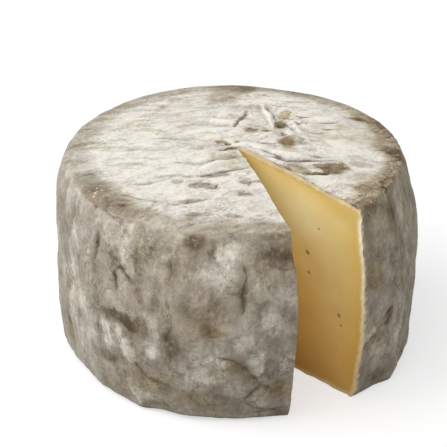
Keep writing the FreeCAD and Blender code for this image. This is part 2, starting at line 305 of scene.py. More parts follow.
turns = np.linspace(half_notch, 2 * math.pi - half_notch, COLUMNS)
turns = np.sort(np.append(turns, [turns[0] + CLOSE_TO_CUT, turns[-1] - CLOSE_TO_CUT]))
print(f"{len(turns)} columns and {len(row_aims)} rows")

# %% [markdown]
# ## Casting the net
#
# Each ray starts far outside and runs in towards the wheel's middle, and the first thing that it
# meets is the skin. The middle lies exactly at the tip of the notch, so the rays are moved a hair
# into the cheese. Otherwise those beside a cut could slip past its edge.

# %% Cast the net onto the pressed wheel
# where a ray starts, in millimetres from the hub
OUTSIDE = 300.0
hub_level = tall / 2
hub = Vector((tip_x, tip_y, foot_corner.z + hub_level * MM))
INSIDE_CUTS = Vector((0, 0.05 * MM, 0))

row_ways = row_aims - [0, hub_level]
row_ways /= np.linalg.norm(row_ways, axis=1)[:, None]
distances = np.zeros((len(turns), len(row_ways)))
for column, turn in enumerate(turns):
    east, south = math.sin(turn), math.cos(turn)
    for row, (out, up) in enumerate(row_ways):
        way = Vector((east * out, -south * out, up))
        start = hub + INSIDE_CUTS + way * OUTSIDE * MM
        met = pressed_skin.ray_cast(start, -way)[0]
        distances[column, row] = (met - hub - INSIDE_CUTS).length / MM
print(f"the skin lies {distances.min():.1f} to {distances.max():.1f} mm from the hub")


# %% [markdown]
# ## Softening the pressed shape
#
# The pressed wheel is made of flat facets, and its pleats meet the top in hard lines. Curd has
# no hard lines, so the distances are blurred a little along the columns and rows. The blur carries
# the slope on at the two cuts, where the net ends. The rim slumped as the wheel dried, so it is
# blurred further, except beside the right-hand cut, where it kept its corner.


# %% Soften the net
def soften(field, along_columns, along_rows):
    """Blurs a column-by-row field by about so many columns and rows."""
    for axis, width in ((0, along_columns), (1, along_rows)):
        span = int(3 * width) + 1
        weights = np.exp(-0.5 * (np.arange(-span, span + 1) / width) ** 2)
        margins = [(span, span) if axis == side else (0, 0) for side in (0, 1)]
        padded = np.pad(field, margins, mode="reflect", reflect_type="odd")
        weights /= weights.sum()
        field = np.apply_along_axis(np.convolve, axis, padded, weights, mode="valid")
    return field


def ramp(value, low, high):
    """0 below low, 1 above high, and a smooth step between them."""
    share = np.clip((value - low) / (high - low), 0, 1)
    return share * share * (3 - 2 * share)


# the blur of the whole skin and the wider one of the rim, in columns and rows
SKIN_BLUR, RIM_BLUR = (1.3, 0.8), (2.0, 3.6)
sharper, rounder = soften(distances, *SKIN_BLUR), soften(distances, *RIM_BLUR)
sharp_levels = hub_level + sharper * row_ways[:, 1]
near_rim = ramp(sharper * row_ways[:, 0], 56, 68) * ramp(sharp_levels, tall - 20, tall - 9)
# how much of the wider blur the rim takes: little beside the right-hand cut, most at the left
turned = np.degrees(turns)[:, None]
slumped = 0.1 + 0.65 * ramp(turned, 150, 250) - 0.1 * ramp(turned, 300, 345)
distances = sharper + (rounder - sharper) * near_rim * slumped
outs = distances * row_ways[:, 0]
levels = hub_level + distances * row_ways[:, 1]
print(f"softened, the wheel is {levels.max() - levels.min():.1f} mm tall")


# %% [markdown]
# ## Which way the skin faces
#
# A dent pushes the skin in and a bulge pushes it out, along the direction that the skin faces.
# That direction is taken within each column, so a column never leaves its own plane and the two
# outer columns stay exactly on the knife cuts. It also tells the top, the side and the foot
# apart, because each gets its own kind of unevenness.


# %% Find the facing and the regions
def facing(out, level):
    """Outward and upward share of the direction in which each point of the net faces."""
    along_out, along_up = np.gradient(out, axis=1), np.gradient(level, axis=1)
    length = np.hypot(along_out, along_up)
    return along_up / length, -along_out / length


face_out, face_up = facing(outs, levels)
on_top = ramp(face_up, 0.45, 0.8)
on_foot = ramp(-face_up, 0.5, 0.9)
on_side = 1 - on_top - on_foot
east, south = np.sin(turns)[:, None], np.cos(turns)[:, None]
across_x = tip_x / MM + outs * east
across_y = tip_y / MM - outs * south
places = np.stack([across_x, across_y, levels], axis=-1)
print(f"{(on_top > 0.5).mean():.0%} of the points are on the top")
print(f"{(on_side > 0.5).mean():.0%} of them are on the side")


# %% [markdown]
# ## Lumps
#
# Curd settles unevenly in its cloth, so the wheel is lumpy at several sizes at once: broad
# swellings, shallow dimples and a fine pebbled skin. Blender's own noise gives each of them, and
# the same place always gets the same value, so the cheese comes out alike every time.


# %% Raise the lumps
def clouds(spots, span, seed, octaves=3):
    """Soft noise about a span across at each spot, roughly between -1 and 1."""
    moved = spots.reshape(-1, 3) / span + np.array([17.3, -9.1, 5.7]) * seed
    values = [noise.fractal(spot, 1.0, 2.0, octaves) for spot in moved.tolist()]
    return np.array(values).reshape(spots.shape[:-1])


swellings = clouds(places, 34, 1)
dimples = clouds(places, 9, 2)
pebbles = clouds(places, 3.2, 3, 2)
relief = on_side * (0.9 * swellings + 0.45 * dimples + 0.16 * pebbles)
relief += on_top * (0.4 * swellings + 0.13 * dimples + 0.05 * pebbles)
relief += on_foot * 0.3 * dimples
print(f"lumps run from {relief.min():.2f} to {relief.max():.2f} mm")


# %% [markdown]
# ## Outlines that stray
#
# Nothing on a cheese has a clean outline. The places that the later steps ask about are therefore
# shifted a little by noise, first broadly and then finely. An oval becomes an irregular blot, and
# a straight crease wavers as a real one does.


# %% Let the outlines stray
def astray(seed, broad=2.6, fine=1.1):
    """How far an outline strays at each point, in millimetres."""
    return broad * clouds(places, 12, seed, 2) + fine * clouds(places, 3.2, seed + 1, 2)


SIDE_RADIUS = 79.0
unrolled = (np.degrees(turns)[:, None] + 180) % 360 - 180
round_side = np.radians(unrolled) * SIDE_RADIUS + 0 * levels
stray_a, stray_b = astray(30), astray(32)
top_x, top_y = across_x + 0.5 * stray_a, across_y + 0.5 * stray_b
side_u, side_v = round_side + stray_a, levels + stray_b
print(f"outlines stray by up to {np.abs(stray_a).max():.1f} mm")


# %% [markdown]
# ## Dents and bulges
#
# Larger dents come from the form, from the board and from fingers, and each has its own place.
# A dent on the side is given by its azimuth and level, one on the top by its x and y. Each is a
# soft round or oval push, wide in one direction and tall in the other, that fades out smoothly.


# %% Push in the dents
def oval(u, v, middle_u, middle_v, wide, tall_way, lean=0.0):
    """1 in the middle of a soft oval patch, fading to 0 outside it."""
    c, s = math.cos(math.radians(lean)), math.sin(math.radians(lean))
    du, dv = u - middle_u, v - middle_v
    return np.exp(-(((du * c + dv * s) / wide) ** 2) - ((dv * c - du * s) / tall_way) ** 2)


def on_side_at(azimuth, level, wide, tall_way, lean=0.0):
    """A blot on the side, by azimuth in degrees and level in millimetres."""
    return oval(side_u, side_v, math.radians(azimuth) * SIDE_RADIUS, level, wide, tall_way, lean)


def on_top_at(x, y, wide, tall_way, lean=0.0):
    """A blot on the top, by its place in millimetres."""
    return oval(top_x, top_y, x, y, wide, tall_way, lean) * on_top


# azimuth, level, width, height and how far the skin moves outwards
SIDE_DENTS = [
    (-13, 84, 12, 9, -2.4),
    (-13, 73, 8, 4, 0.8),
    (13, 88, 8, 5, 1.4),
    (-21, 2, 9, 5, -0.3),
    (-41, 3, 12, 6, -0.7),
    (-56, 2, 6, 5, -1.0),
    (-65, 2, 6, 6, 0.6),
    (32, 4, 6, 7, 2.4),
    (-30, 52, 12, 20, 0.6),
    (-72, 58, 10, 14, -0.6),
    (27, 35, 5, 8, -0.7),
]
# x, y, width, height and how far the skin moves up
TOP_DENTS = [
    (-15, -61, 12, 14, -2.2),
    (-12, -46, 8, 10, -1.0),
    (12, -54, 8, 8, -0.8),
    (45, 45, 40, 12, -0.5),
]
for azimuth, level, wide, tall_way, push in SIDE_DENTS:
    relief += push * on_side_at(azimuth, level, wide, tall_way) * (1 - on_top)
for x, y, wide, tall_way, push in TOP_DENTS:
    relief += push * on_top_at(x, y, wide, tall_way)
print(f"{len(SIDE_DENTS) + len(TOP_DENTS)} dents and bulges")


# %% [markdown]
# ## Creases and welts
#
# Wherever the cloth was gathered it left narrow grooves, and thin welts between them. Each runs
# along a short path that is given as a few points. A point's distance from the path tells how
# deep it lies in the groove, and the groove runs out softly at its two ends. The side on which
# the point lies is kept as well: the finish draws its fine dark line where that changes over.


# %% Helpers that follow a path
def follow(u, v, path):
    """How far each point lies to the left of a path, and 1 along it that fades to its two ends."""
    path = np.array(path, float)
    runs = np.diff(path, axis=0)
    lengths = np.linalg.norm(runs, axis=1)
    nearest, how_far = np.full(u.shape, 1e9), np.zeros(u.shape)
    side = np.ones(u.shape)
    for start, run, length, before in zip(path, runs, lengths, np.cumsum(lengths) - lengths):
        du, dv = u - start[0], v - start[1]
        share = np.clip((du * run[0] + dv * run[1]) / length**2, 0, 1)
        gap = np.hypot(du - share * run[0], dv - share * run[1])
        closer = gap < nearest
        nearest[closer] = gap[closer]
        how_far[closer] = (before + share * length)[closer] / lengths.sum()
        side[closer] = np.where(run[0] * dv - run[1] * du > 0, 1.0, -1.0)[closer]
    fade = np.clip(np.minimum(how_far, 1 - how_far) * 5 + 0.25, 0, 1)
    return nearest * side, fade


def stroke(u, v, path, breadth):
    """1 along the middle of a path, fading to 0 beside it and towards its two ends."""
    off, fade = follow(u, v, path)
    return np.exp(-((off / breadth) ** 2)) * fade


def side_path(path):
    """Turns a path of azimuths and levels into millimetres on the unrolled side."""
    return [(math.radians(azimuth) * SIDE_RADIUS, level) for azimuth, level in path]


print("path helpers are ready")

# %% [markdown]
# ## The creases of the side
#
# The side has few creases. A folded one like a small roof sits high on the left, upright ones
# mark where the cloth hung in folds, and slanting ones run down to the foot. Placed one by one,
# they keep the character of one particular cheese. At the back, where nothing special happened,
# dice with a fixed seed do the placing.

# %% List the creases and welts of the side
# depth, breadth and the path as azimuth and level
SIDE_CREASES = [
    (1.6, 1.3, [(-71.3, 58.5), (-71.4, 65), (-70, 69.3), (-67.3, 67.6), (-64.6, 64.5)]),
    (0.7, 1.2, [(-80, 79), (-79.2, 70.4), (-82.3, 64.5)]),
    (0.5, 1.0, [(-75.8, 75), (-72.8, 71), (-70.6, 68)]),
    (0.8, 1.3, [(-92, 90), (-76, 89), (-64, 90.5), (-60, 90)]),
    (0.9, 1.2, [(-29, 79), (-28.3, 73), (-29.4, 65.6), (-29.1, 58)]),
    (0.6, 1.0, [(-50.8, 77), (-51.3, 69.5)]),
    (0.6, 1.2, [(-80.1, 41), (-80.9, 33), (-79.7, 25)]),
    (0.9, 1.3, [(-36.8, 37.3), (-31.7, 34.9), (-26.8, 28.5), (-23.3, 21.8)]),
    (0.7, 1.1, [(-23.3, 21.8), (-26, 16.5), (-28.8, 12.3)]),
    (0.7, 1.1, [(-16, 34.8), (-12.9, 29.2)]),
    (0.5, 0.9, [(-24.7, 57.7), (-23.6, 55.3)]),
    (0.6, 1.0, [(-18.3, 75.8), (-14.5, 74.7)]),
    (0.6, 1.2, [(-28, 9), (-20, 7), (-14, 3.5)]),
    (0.5, 1.0, [(-26.4, 4.3), (-14, 6.5)]),
    (0.9, 1.1, [(29.3, 38.4), (26, 37.6), (22.7, 36.1)]),
    (0.8, 1.0, [(28.8, 35.3), (24, 31.8)]),
    (0.5, 1.2, [(35, 85), (34, 60), (36, 40)]),
    (0.5, 1.0, [(-52, 62), (-50, 50), (-53, 40)]),
    (0.6, 1.2, [(-66, 28), (-60, 20), (-50, 17)]),
    (0.5, 1.0, [(-65.5, 76), (-62.7, 73.9)]),
    (0.6, 1.2, [(118, 80), (122, 62), (117, 48)]),
    (0.6, 1.2, [(160, 42), (168, 34), (181, 31)]),
    (0.6, 1.2, [(-148, 70), (-140, 58), (-142, 45)]),
    (0.6, 1.2, [(70, 66), (76, 55), (74, 38)]),
]
# height, breadth and the path as azimuth and level
SIDE_WELTS = [
    (0.6, 1.3, [(13.9, 30.2), (18.6, 32.1), (31.7, 30.4)]),
    (0.8, 1.6, [(-70.5, 42), (-67, 34), (-64.5, 28)]),
    (0.9, 3.0, [(-73.5, 41), (-72, 29)]),
    (0.7, 2.4, [(-25.5, 36), (-22.5, 27)]),
    (0.6, 1.3, [(-36.5, 86), (-35.5, 79)]),
]

dice = np.random.default_rng(11)
FAR_CREASES = 14
for _ in range(FAR_CREASES):
    azimuth, level = (dice.uniform(64, 232) + 180) % 360 - 180, dice.uniform(20, 78)
    turned_by, fallen = dice.uniform(-5, 5, 2), dice.uniform(2, 9, 2)
    path = [(azimuth, level), (azimuth + turned_by[0], level - fallen[0])]
    path.append((azimuth + turned_by.sum(), level - fallen.sum()))
    SIDE_CREASES.append((dice.uniform(0.5, 1.0), dice.uniform(0.9, 1.3), path))
print(f"{len(SIDE_CREASES)} creases and {len(SIDE_WELTS)} welts on the side")

# %% [markdown]
# ## The creases of the top
#
# The cloth was twisted together a little to the right of the middle. It left a navel there: a
# fold like a narrow V, two pits and short folds in between. A broad smooth collar swings from the
# tip of the notch along the right-hand cut, and long creases run out to the rim.

# %% List the creases and welts of the top
# the smooth collar beside the right-hand cut, from the tip of the notch outwards
COLLAR_PATH = [(0, 1.5), (4.9, -4.6), (7.6, -10.5), (9.8, -16), (12.4, -20.5)]
COLLAR_PATH += [(16.5, -24), (24, -28)]
# depth, breadth and the path as x and y
TOP_CREASES = [
    (0.9, 0.9, [(8, 16), (15, 22), (22, 28)]),
    (1.1, 0.8, [(32.6, 27), (28.8, 18), (26.6, 10)]),
    (1.8, 2.0, [(25.5, 7.5), (29, 6)]),
    (1.3, 1.0, [(31, 10), (28.5, 3), (27, -3)]),
    (0.5, 1.8, [(11, 9), (14, 8)]),
    (0.6, 1.2, [(17, 6.4), (21, 4)]),
    (0.8, 1.2, [(23.5, 2), (22, -2.4)]),
    (0.5, 2.6, [(17, -7.4), (19.8, -9.5), (22, -11)]),
    (0.9, 0.8, [(8, -3), (15, -8)]),
    (0.9, 0.9, [(4, -22), (6.5, -27), (8, -33)]),
    (0.7, 0.7, [(4, 1), (9.5, -5), (14, -10.5), (19, -16)]),
    (0.8, 0.8, [(2.4, -4), (4.8, -11), (6.6, -17.5), (10, -23.5), (15, -28)]),
    (0.9, 0.8, [(3.5, -16), (5.5, -19), (9.8, -23.5), (15.3, -27), (23.3, -30.4), (31, -33)]),
    (1.2, 0.9, [(-2.6, -1.6), (-6.5, -1.3), (-10, 0.5)]),
    (0.8, 0.8, [(-3.5, -7.6), (-9.1, -4.7), (-15, -1.5)]),
    (0.6, 0.7, [(-5.2, -11.2), (-11, -8.4), (-17, -6)]),
    (0.6, 0.7, [(-6.6, -14.3), (-12.6, -10.5), (-19, -7)]),
    (1.4, 1.1, [(-6, -21), (-15, -19), (-25, -17), (-29, -16)]),
    (0.9, 1.6, [(-30, -20), (-35, -21)]),
    (0.9, 1.1, [(-26, -26), (-28.5, -28), (-26, -30)]),
    (0.7, 1.0, [(-12, -31), (-16, -35)]),
    (0.6, 0.9, [(-19, -37), (-23, -38)]),
    (0.7, 0.8, [(31, 14), (38, 10), (44, 9)]),
    (0.8, 0.8, [(33, 7), (42, 3), (52, -1)]),
    (0.8, 1.0, [(41, -3.5), (48, -7)]),
    (0.7, 1.5, [(34, -5), (40, -7)]),
    (0.6, 0.9, [(30, -11), (34, -14)]),
    (0.9, 1.3, [(57, 5), (63, -2)]),
    (0.7, 0.8, [(17, -24), (24, -28), (29, -30)]),
    (1.1, 1.2, [(11, -37), (15, -40), (21, -42)]),
    (0.5, 1.0, [(40, 38), (47, 29), (55, 26)]),
    (0.5, 0.9, [(34, 34), (40, 26), (48, 21)]),
    (0.6, 1.0, [(-66, -8), (-60, -18), (-54, -27)]),
    (0.5, 1.0, [(-40, -12), (-50, -10), (-58, -5)]),
    (0.5, 0.9, [(-34, -36), (-44, -34), (-52, -30)]),
]
# height, breadth and the path as x and y
TOP_WELTS = [
    (1.1, 2.9, COLLAR_PATH),
    (0.5, 1.2, [(17, -13), (24, -16), (32, -20)]),
    (0.5, 1.0, [(-6, -8), (-12, -9), (-19, -7)]),
    (0.5, 1.0, [(-7, -13), (-14, -14), (-21, -11)]),
    (0.8, 0.65, [(34, 33), (27.4, 20.5), (24.6, 12.5), (23.2, 6.5), (26.4, 3.4)]),
    (0.8, 1.2, [(34.5, 10), (31.6, 2.5), (30, -4)]),
    (0.6, 1.0, [(37, 9), (36, 3), (37, -2)]),
    (0.5, 0.9, [(24.5, 1), (25, -4), (22, -5)]),
    (0.7, 1.8, [(-2, -16), (-14, -13), (-25, -12)]),
    (0.4, 1.0, [(-6, -9.5), (-16, -7)]),
]
print(f"{len(TOP_CREASES)} creases and {len(TOP_WELTS)} welts on the top")

# %% [markdown]
# ## Pressing them in
#
# All creases are pressed in by one loop, which also keeps, for every point, its distance from the
# nearest crease. A real crease isn't equally deep all along, so noise makes it deeper and
# shallower.

# %% Press in the creases
# how much of the stray the paths of the side and of the top take over
SIDE_WAVER, TOP_WAVER = 0.45, 0.25
# the fine dark line in a crease is looked for within so many millimetres
LINE_REACH = 1.8
# the distance that is stored where no crease is near
NO_CREASE = 9.0
crease_u, crease_v = round_side + SIDE_WAVER * stray_a, levels + SIDE_WAVER * stray_b
crease_x, crease_y = across_x + TOP_WAVER * stray_a, across_y + TOP_WAVER * stray_b
off_top = 1 - on_top
creases = [(d, b, side_path(p), crease_u, crease_v, off_top) for d, b, p in SIDE_CREASES]
creases += [(d, b, p, crease_x, crease_y, on_top) for d, b, p in TOP_CREASES]
groove, line_near = np.zeros((2,) + relief.shape)
line_off = np.full(relief.shape, NO_CREASE)
for depth, breadth, path, u, v, where in creases:
    off, fade = follow(u, v, path)
    groove += depth * np.exp(-((off / breadth) ** 2)) * fade * where
    # a line fades out later than its groove, and a shallow crease has a fainter and thinner one
    near = np.exp(-((off / LINE_REACH) ** 2)) * np.clip(1.6 * fade, 0, 1) * where
    near *= min(1, depth / 0.9)
    closer = near > line_near
    line_off[closer] = (off / np.clip(depth, 0.7, 1.5))[closer]
    line_near = np.maximum(line_near, near)
uneven_depth = 0.75 + 0.9 * clouds(places, 5, 34, 2)
groove *= np.clip(uneven_depth, 0.2, 1.3)
print(f"the deepest of {len(creases)} creases is {groove.max():.1f} mm deep")

# %% [markdown]
# ## Raising the welts
#
# A welt is the print of a fold in the cloth that left room for the curd: a thin ridge beside or
# between the grooves. Each is a soft stroke along its path, and where two of them cross, their
# heights add up. The creases are then taken away from the welts.

# %% Raise the welts
welts = np.zeros(relief.shape)
for height, breadth, path in SIDE_WELTS:
    welts += height * stroke(crease_u, crease_v, side_path(path), breadth) * off_top
for height, breadth, path in TOP_WELTS:
    welts += height * stroke(crease_x, crease_y, path, breadth) * on_top
relief += welts - groove
print(f"the highest welt is {welts.max():.1f} mm high")


# %% [markdown]
# ## Folds that the cloth left all over
#
# Between the creases that were listed one by one, the whole top carries finer folds that run the
# way in which the cloth was pulled, and the side carries upright ones. Round the place where the
# cloth was gathered they fan out from it instead. Noise that is stretched in one direction and
# folded over at zero makes such sharp-crested, irregular ridges.


# %% Measure the pull and the gathering
# the azimuth towards which the cloth was pulled, and the place where it was gathered
PULL_AZIMUTH = 58.7
GATHER_X, GATHER_Y = 24.3, 3.8
# the folds fan out fully within the smaller of these distances and not at all past the larger
FAN_NEAR, FAN_FAR = 16, 46
pull_x, pull_y = math.sin(math.radians(PULL_AZIMUTH)), -math.cos(math.radians(PULL_AZIMUTH))
along_pull = across_x * pull_x + across_y * pull_y
across_pull = -across_x * pull_y + across_y * pull_x + 3.0 * swellings + 0.8 * stray_a
from_gather = np.hypot(across_x - GATHER_X, across_y - GATHER_Y)
round_gather = np.arctan2(across_y + stray_b - GATHER_Y, across_x + stray_a - GATHER_X)
near_gather = ramp(from_gather, FAN_FAR, FAN_NEAR)
print(f"the gathering lies {math.hypot(GATHER_X, GATHER_Y):.0f} mm from the wheel's middle")

# %% [markdown]
# ## Noise that is stretched
#
# Noise that is longer in one direction makes streaks. Here it is stretched along the pull of the
# cloth, or round the gathering, so that its streaks run away from there like spokes. Folded over
# at zero, the same noise has sharp crests. The folds use these helpers now, and the bloom later.


# %% Helpers for stretched noise
def ridges(spots, seed):
    """Sharp-crested noise at spots that are already stretched, 1 on its crests."""
    return 1 - 2 * np.abs(clouds(spots, 1.0, seed, 2))


def pulled(length, spacing):
    """Places along and across the pull of the cloth, stretched to a length and a spacing."""
    return np.stack([along_pull / length, across_pull / spacing, 0 * along_pull], axis=-1)


def fanned(spacing, length, twist=0.0):
    """Places round the gathering, stretched so that noise there runs away from it."""
    turn = round_gather + twist * from_gather
    return np.stack(
        [np.cos(turn) * 20 / spacing, np.sin(turn) * 20 / spacing, from_gather / length], axis=-1
    )


print("helpers for stretched noise are ready")

# %% [markdown]
# ## Laying in the folds
#
# Wide folds and fine ones are laid over each other. Near the gathering the spokes take over from
# the straight folds. The side gets broad upright folds, and beside the notch, where the curd
# sagged, the foot hangs a little lower.

# %% Lay in the cloth folds
# how high the wide folds and the fine ones stand, in millimetres
FAN_HEIGHTS, PULL_HEIGHTS = (0.35, 0.22), (0.12, 0.085)
UPRIGHT_HEIGHT = 0.3
# how much lower the foot hangs beside the notch
FOOT_SAG = 0.9
fan_folds, fan_lines = ridges(fanned(5.0, 22, 0.006), 4), ridges(fanned(2.4, 14, 0.01), 5)
pull_folds, pull_lines = ridges(pulled(26, 6.0), 6), ridges(pulled(13, 2.3), 7)
fan = FAN_HEIGHTS[0] * fan_folds + FAN_HEIGHTS[1] * fan_lines
pull = PULL_HEIGHTS[0] * pull_folds + PULL_HEIGHTS[1] * pull_lines
# the right of the top is smoother, and so is the collar
to_the_right = ramp(across_x, 24, 40)
top_folds = near_gather * fan + (1 - near_gather) * pull * (1 - 0.6 * to_the_right)
top_folds *= 1 - 0.95 * stroke(crease_x, crease_y, COLLAR_PATH, 5)
relief += on_top * top_folds * ramp(from_gather, 1.5, 7)
relief += FOOT_SAG * on_foot * ramp(np.abs(unrolled - 12), 45, 20)
upright = [(levels + 3 * swellings) / 30, (round_side + 3 * swellings) / 11, 0 * levels]
relief += on_side * UPRIGHT_HEIGHT * ridges(np.stack(upright, axis=-1), 8)
print(f"with its folds the skin moves by {relief.min():.2f} to {relief.max():.2f} mm")

# %% [markdown]
# ## Pleats
#
# The pressed wheel already has the pleats of the gathered cloth, but the blur took some of their
# height. What stands above a much blurrier copy of the top is a pleat, so a share of just that
# is added again.

# %% Bring out the pleats
PLEAT_GAIN = 0.5
pleats = (levels - soften(levels, 9, 6)) * on_top * ramp(outs, 60, 50)
relief += PLEAT_GAIN * np.clip(pleats, -0.8, 1.0)
print(f"the pleats stand {pleats.max():.2f} mm above the top round them")

# %% [markdown]
# ## Moving the skin
#
# All pushes are added up and applied at once. Nothing may sink below the board that the wheel
# stands on, so the foot stays flat where it rests. The skin is also compared with a blurred copy
# of itself: that tells the hollows from the crests, and from it the rind later gets painted
# shade in the hollows and painted light on the crests.

# %% Apply the relief
outs = outs + face_out * relief
levels = np.maximum(levels + face_up * relief, 0.0)
smooth_outs, smooth_levels = soften(outs, 3.5, 3.5), soften(levels, 3.5, 3.5)
hollows = (smooth_outs - outs) * face_out + (smooth_levels - levels) * face_up
hollows -= soften(hollows, 12, 12)
print(f"hollows are up to {hollows.max():.2f} mm deep")
print(f"and crests up to {-hollows.min():.2f} mm high")

# %% [markdown]
# ## A crumbly edge
#
# The knife broke small crumbs off the rind, so the two outer columns wander a little to
# either side of the cut. The push is strongest on the outer edge and fades along the top
# towards the tip.

# %% Roughen the cut edges
columns_x = tip_x / MM + outs * east
columns_y = tip_y / MM - outs * south
# the column, its side of the notch and how far its edge crumbled, in millimetres
for column, side, crumbled in ((0, 1, 0.6), (-1, -1, 0.15)):
    edge = np.stack([outs[column], levels[column], 0 * outs[column]], axis=-1)
    crumbs = crumbled * clouds(edge, 2.6, 7 + side, 2) * ramp(outs[column], 4, 15)
    columns_x[column] += crumbs * math.cos(half_notch)
    columns_y[column] += crumbs * side * math.sin(half_notch)
skin_points = np.stack([columns_x, columns_y, levels], axis=-1)
print(f"the skin net has {skin_points.shape[0] * skin_points.shape[1]} points")

# %% [markdown]
# ## The tip line and the eyes
#
# The two cuts meet in an upright line at the tip of the notch, which both of them share. The
# paste of a tomme has a few small eyes, where a little gas was trapped. Each eye is a shallow
# bowl, made of rings of points that sink deeper towards its middle.

# %% Lay out the tip line and the eyes
pole_low = np.array([tip_x / MM, tip_y / MM, levels[:, 0].mean()])
pole_high = np.array([tip_x / MM, tip_y / MM, levels[:, -1].mean()])
tip_levels = np.linspace(pole_low[2], pole_high[2], 50)[1:-1]
tip_points = np.array([(tip_x / MM, tip_y / MM, level) for level in tip_levels])

# side, distance from the tip, level and width
EYES = [
    (1, 44.5, 60.0, 2.4),
    (1, 45.3, 50.6, 1.8),
    (1, 51.0, 73.8, 1.4),
    (1, 63.6, 36.6, 2.2),
    (1, 64.8, 32.2, 1.6),
    (-1, 33.0, 66.0, 1.8),
    (-1, 52.0, 31.0, 2.4),
    (-1, 55.5, 27.5, 1.5),
    (-1, 61.0, 58.0, 2.0),
]
# how far out a ring of an eye lies and how deep it sinks, as shares of the eye's radius
EYE_RINGS = [(1.3, 0.0), (1.08, 0.04), (0.97, 0.3), (0.8, 0.62), (0.5, 0.87), (0.2, 0.98)]
print(f"{len(EYES)} eyes, {min(e[3] for e in EYES)} to {max(e[3] for e in EYES)} mm wide")


# %% [markdown]
# ## The two cut faces
#
# A cut face is flat, and its outline is the skin's last column, closed along the tip of the
# notch. The inside is filled with rows of evenly spaced points, and every other row is moved by
# half a step, which makes good triangles. No plain point lies on an eye's rings.


# %% Spread points over a cut
# how far apart the points and the rows lie, and how much room the outline and an eye get
CUT_SPACING = 1.6
ROW_SPACING = CUT_SPACING * 0.87
OUTLINE_ROOM, EYE_ROOM = 0.9, 0.8
RING_POINTS = 12


def eye_points(across, level, width):
    """The rings of one eye: across, level and how deep they sink, in millimetres."""
    spots = []
    for ring, sink in EYE_RINGS:
        for k in range(RING_POINTS):
            angle = 2 * math.pi * k / RING_POINTS
            ring_across = across + width / 2 * ring * math.cos(angle)
            ring_level = level + width / 2 * ring * math.sin(angle)
            spots.append((ring_across, ring_level, width / 2 * sink))
    return spots


def cut_interior(side, column):
    """Points inside one cut: across, level and how deep they sink, in millimetres."""
    eyes = [eye[1:] for eye in EYES if eye[0] == side]
    spots = [spot for eye in eyes for spot in eye_points(*eye)]
    outline = np.arctan2(levels[column] - hub_level, outs[column])
    outline_reach = np.hypot(levels[column] - hub_level, outs[column])
    across_steps = np.arange(CUT_SPACING, outs[column].max(), CUT_SPACING)
    for number, level in enumerate(np.arange(CUT_SPACING, tall + 2, ROW_SPACING)):
        for across in across_steps + (number % 2) * CUT_SPACING / 2:
            angle = math.atan2(level - hub_level, across)
            reached_to = math.hypot(level - hub_level, across)
            in_outline = np.interp(angle, outline, outline_reach) - reached_to >= OUTLINE_ROOM
            near_eye = any(
                math.hypot(across - a, level - b) < 0.65 * w + EYE_ROOM for a, b, w in eyes
            )
            if in_outline and not near_eye:
                spots.append((across, level, 0.0))
    return np.array(spots)


right_inside, left_inside = cut_interior(1, 0), cut_interior(-1, -1)
print(f"{len(right_inside)} and {len(left_inside)} points lie in the cuts")

# %% [markdown]
# ## Triangles for the cuts
#
# An uneven outline with round eyes in it can't be covered by a regular grid. Blender's Delaunay
# routine joins any scattered points with triangles that are as little slanted as can be, and it
# keeps the edges of the outline. Its answer tells which of the given points each corner is.


# %% Join the points of a cut with triangles
def fill_cut(column, inside):
    """The triangles of one cut, as numbers into its outline, the tip line and its inside."""
    rim = list(zip(outs[column], levels[column]))
    tip = [(0.0, level) for level in tip_levels[::-1]]
    outline = [(0.0, pole_low[2])] + rim + [(0.0, pole_high[2])] + tip
    flat = [Vector(p) for p in outline] + [Vector(p[:2]) for p in inside]
    loop = list(range(len(outline)))
    edges = list(zip(loop, loop[1:] + loop[:1]))
    _, _, faces, origins, _, _ = geometry.delaunay_2d_cdt(flat, edges, [loop], 1, 1e-5)
    return [[origins[v][0] for v in face] for face in faces]


right_faces, left_faces = fill_cut(0, right_inside), fill_cut(-1, left_inside)
print(f"{len(right_faces)} and {len(left_faces)} triangles fill the cuts")

# %% [markdown]
# ## Putting the cuts in place
#
# So far a cut's points lie on a flat sheet. They are now set up in space, on the knife's line. A
# knife never leaves a perfect plane, so the paste gets slight waves, and the eyes are pushed in.
# All points get a number of their own, and each group of them starts at a known one.

# %% Place all the points
column_count, row_count = outs.shape
net_count = column_count * row_count
low_pole, high_pole = net_count, net_count + 1
tip_start = net_count + 2
right_start = tip_start + len(tip_points)
left_start = right_start + len(right_inside)


def knife_waves(across, level, seed):
    """The slight waves that the knife left in a cut, in millimetres."""
    spots = np.stack([across / 30, level / 9, 0 * across], axis=-1)
    return 0.22 * clouds(spots, 1.0, seed, 2)


def cut_points(inside, side, seed):
    """Places the inner points of a cut in space, with its knife waves and its eyes sunk in."""
    across, level, sink = inside.T
    calm = ramp(across, 0, 6) * ramp(SIDE_RADIUS - across, 2, 10)
    shift = side * (sink + knife_waves(across, level, seed) * calm)
    x = tip_x / MM + across * side * math.sin(half_notch) + shift * math.cos(half_notch)
    y = tip_y / MM - across * math.cos(half_notch) + side * shift * math.sin(half_notch)
    return np.stack([x, y, level], axis=-1)


points = np.concatenate(
    [
        skin_points.reshape(-1, 3),
        [pole_low, pole_high],
        tip_points,
        cut_points(right_inside, 1, 10),
        cut_points(left_inside, -1, 11),
    ]
)
print(f"{net_count} points in the skin and {len(points) - net_count} in the cuts")

# %% [markdown]
# ## One closed skin
#
# The net, the two cuts, the tip line and the two middle points of foot and top are now joined
# into a single closed mesh. Points on the outline of a cut are shared with the skin, so there is
# no seam to leak.

# %% Join everything into one mesh
net = np.arange(net_count).reshape(column_count, row_count)
quads = np.stack([net[:-1, :-1], net[1:, :-1], net[1:, 1:], net[:-1, 1:]], axis=-1).reshape(-1, 4)
caps = [(low_pole, net[c + 1, 0], net[c, 0]) for c in range(column_count - 1)]
caps += [(high_pole, net[c, -1], net[c + 1, -1]) for c in range(column_count - 1)]


